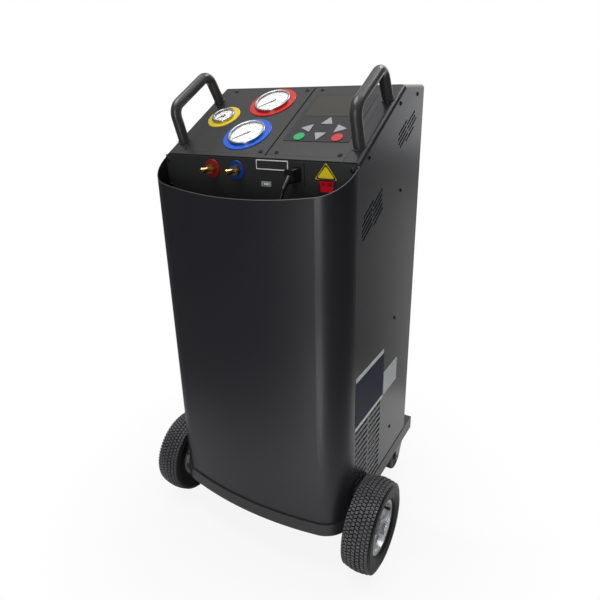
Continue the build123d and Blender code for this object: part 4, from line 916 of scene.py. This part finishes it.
def painted_bright_strip(corner, toward, start, end, level):
    """a painted bright strip in the floor's colour, standing in for light, that runs out from one point"""
    from_corner = new("ShaderNodeVectorMath")
    from_corner.operation = "SUBTRACT"
    from_corner.inputs[1].default_value = corner
    way = new("ShaderNodeVectorMath")
    way.operation = "NORMALIZE"
    along = new("ShaderNodeVectorMath")
    along.operation = "DOT_PRODUCT"
    along.inputs[1].default_value = toward
    link(spot.outputs["Object"], from_corner.inputs[0])
    link(from_corner.outputs[0], way.inputs[0])
    link(way.outputs[0], along.inputs[0])
    return ramp(along.outputs["Value"], start, end, 0.0, level)


# the floor's colour with painted light: a painted pool of light, pale under the object and dim further out,
# and its painted bright strips and patch
painted_pool_of_light = ramp(reach.outputs["Value"], 0.42, 0.95, 0.66, 0.12)
parts_of_place = new("ShaderNodeSeparateXYZ")
link(spot.outputs["Object"], parts_of_place.inputs[0])
behind_share = ramp(parts_of_place.outputs["Y"], -0.1, 0.4, 0.0, 1.0)
# painted bright strips of light in the floor's colour, behind and before the object
behind = reckon("MULTIPLY", painted_bright_strip((-0.136, -0.953, 0.0), (-0.174, 0.985, 0.0), 0.83, 0.94, 0.88),
                behind_share)
before = reckon("MULTIPLY", painted_bright_strip((0.19, -0.17, 0.0), (0.13, -0.9915, 0.0), 0.975, 0.992, 0.90),
                ramp(reach.outputs["Value"], 0.48, 0.70, 0.0, 1.0))
# a painted bright patch of light in the floor's colour beside the object
beside = new("ShaderNodeVectorMath")
beside.operation = "DISTANCE"
beside.inputs[1].default_value = (0.36, 0.28, 0.0)
link(spot.outputs["Object"], beside.inputs[0])
floor_tone_with_painted_light = reckon("MAXIMUM", reckon("MAXIMUM", painted_pool_of_light, behind),
               reckon("MAXIMUM", before, ramp(beside.outputs["Value"], 0.20, 0.42, 0.90, 0.0)))
link(floor_tone_with_painted_light, floor_shader.inputs["Base Color"])
outer_white = ramp(reach.outputs["Value"], 0.30, 0.72, 0.89, 1.0)
white = new("ShaderNodeEmission")
ray = new("ShaderNodeLightPath")
blend = new("ShaderNodeMixShader")
seen = reckon("MAXIMUM", ray.outputs["Is Camera Ray"], ray.outputs["Is Transmission Ray"])
link(reckon("MULTIPLY", seen, outer_white), blend.inputs[0])
link(floor_shader.outputs[0], blend.inputs[1])
link(white.outputs[0], blend.inputs[2])
link(blend.outputs[0], floor_paint.node_tree.nodes["Material Output"].inputs["Surface"])

# Studio: a white backdrop behind the object and a bright ceiling, with the room dim on the camera's side,
# so black paint stays black from the front and its sides take the backdrop's sheen.
studio = bpy.data.worlds.new("studio")
bpy.context.scene.world = studio
studio.use_nodes = True
new, link = studio.node_tree.nodes.new, studio.node_tree.links.new
direction = new("ShaderNodeTexCoord")
levels = []
for toward, start, end, low, high in (((-0.174, 0.985, 0.0), 0.80, 0.93, 0.08, 1.6),
                                      ((0.0, 0.10, 0.99), 0.45, 0.95, 0.0, 0.9)):
    nearness = new("ShaderNodeVectorMath")
    nearness.operation = "DOT_PRODUCT"
    nearness.inputs[1].default_value = toward
    link(direction.outputs["Generated"], nearness.inputs[0])
    levels.append(ramp(nearness.outputs["Value"], start, end, low, high))
room = studio.node_tree.nodes["Background"]
room.inputs["Color"].default_value = (0.97, 0.98, 1.0, 1.0)
link(reckon("MAXIMUM", *levels), room.inputs["Strength"])
backdrop = new("ShaderNodeBackground")
backdrop.inputs["Color"].default_value = (1.0, 1.0, 1.0, 1.0)
ray = new("ShaderNodeLightPath")
choice = new("ShaderNodeMixShader")
link(reckon("MAXIMUM", ray.outputs["Is Camera Ray"], ray.outputs["Is Transmission Ray"]), choice.inputs[0])
link(room.outputs[0], choice.inputs[1])
link(backdrop.outputs[0], choice.inputs[2])
link(choice.outputs[0], studio.node_tree.nodes["World Output"].inputs["Surface"])


# Lamps: a broad soft one over the front left, and a narrow tall one in front of the right corner that draws
# the bright upright band there. A high one lights the floor far behind, and a small one a patch before it.
def add_lamp(name, place, target, width, height, power, spread=180):
    """a soft rectangular lamp, turned to its target"""
    lamp = bpy.data.lights.new(name, "AREA")
    lamp.shape = "RECTANGLE"
    lamp.size = width
    lamp.size_y = height
    lamp.energy = power
    lamp.spread = radians(spread)
    holder = in_scene(name, lamp)
    holder.location = place
    holder.rotation_mode = "QUATERNION"
    holder.rotation_quaternion = (Vector(target) - Vector(place)).to_track_quat("-Z", "Y")


add_lamp("overhead", (-0.5, -0.5, 2.9), (0.0, 0.0, 0.6), 1.6, 1.2, 26)
add_lamp("corner_strip", (0.53, -2.58, 0.95), (0.2, -0.2, 0.5), 0.60, 1.8, 16)
add_lamp("rear_wash", (0.9, 2.5, 3.6), (0.9, 2.6, 0.0), 1.8, 1.8, 48, 150)
add_lamp("floor_wash", (0.32, -1.15, 1.5), (0.29, -0.95, 0.0), 0.4, 0.4, 3.5, 40)

# Camera: to the front right of the cabinet at its own height, looking a little down.
camera_place = Vector((0.57648, -0.95273, 0.99796))
camera_turn, camera_rise, camera_roll = radians(31.045), radians(20.401), radians(-1.36)
back = Vector((sin(camera_turn) * cos(camera_rise), -cos(camera_turn) * cos(camera_rise), sin(camera_rise)))
level = Vector((0, 0, 1)).cross(back).normalized()
upright = back.cross(level)
right = cos(camera_roll) * level + sin(camera_roll) * upright
above = -sin(camera_roll) * level + cos(camera_roll) * upright
camera_data = bpy.data.cameras.new("camera")
camera_data.sensor_width = 36.0
camera_data.lens = 30.716
camera_data.shift_x = 0.00467
camera_data.shift_y = -0.0326
camera = in_scene("camera", camera_data)
camera.matrix_world = Matrix.Translation(camera_place) @ Matrix((right, above, back)).transposed().to_4x4()
bpy.context.scene.camera = camera
bpy.context.scene.view_settings.view_transform = "Standard"
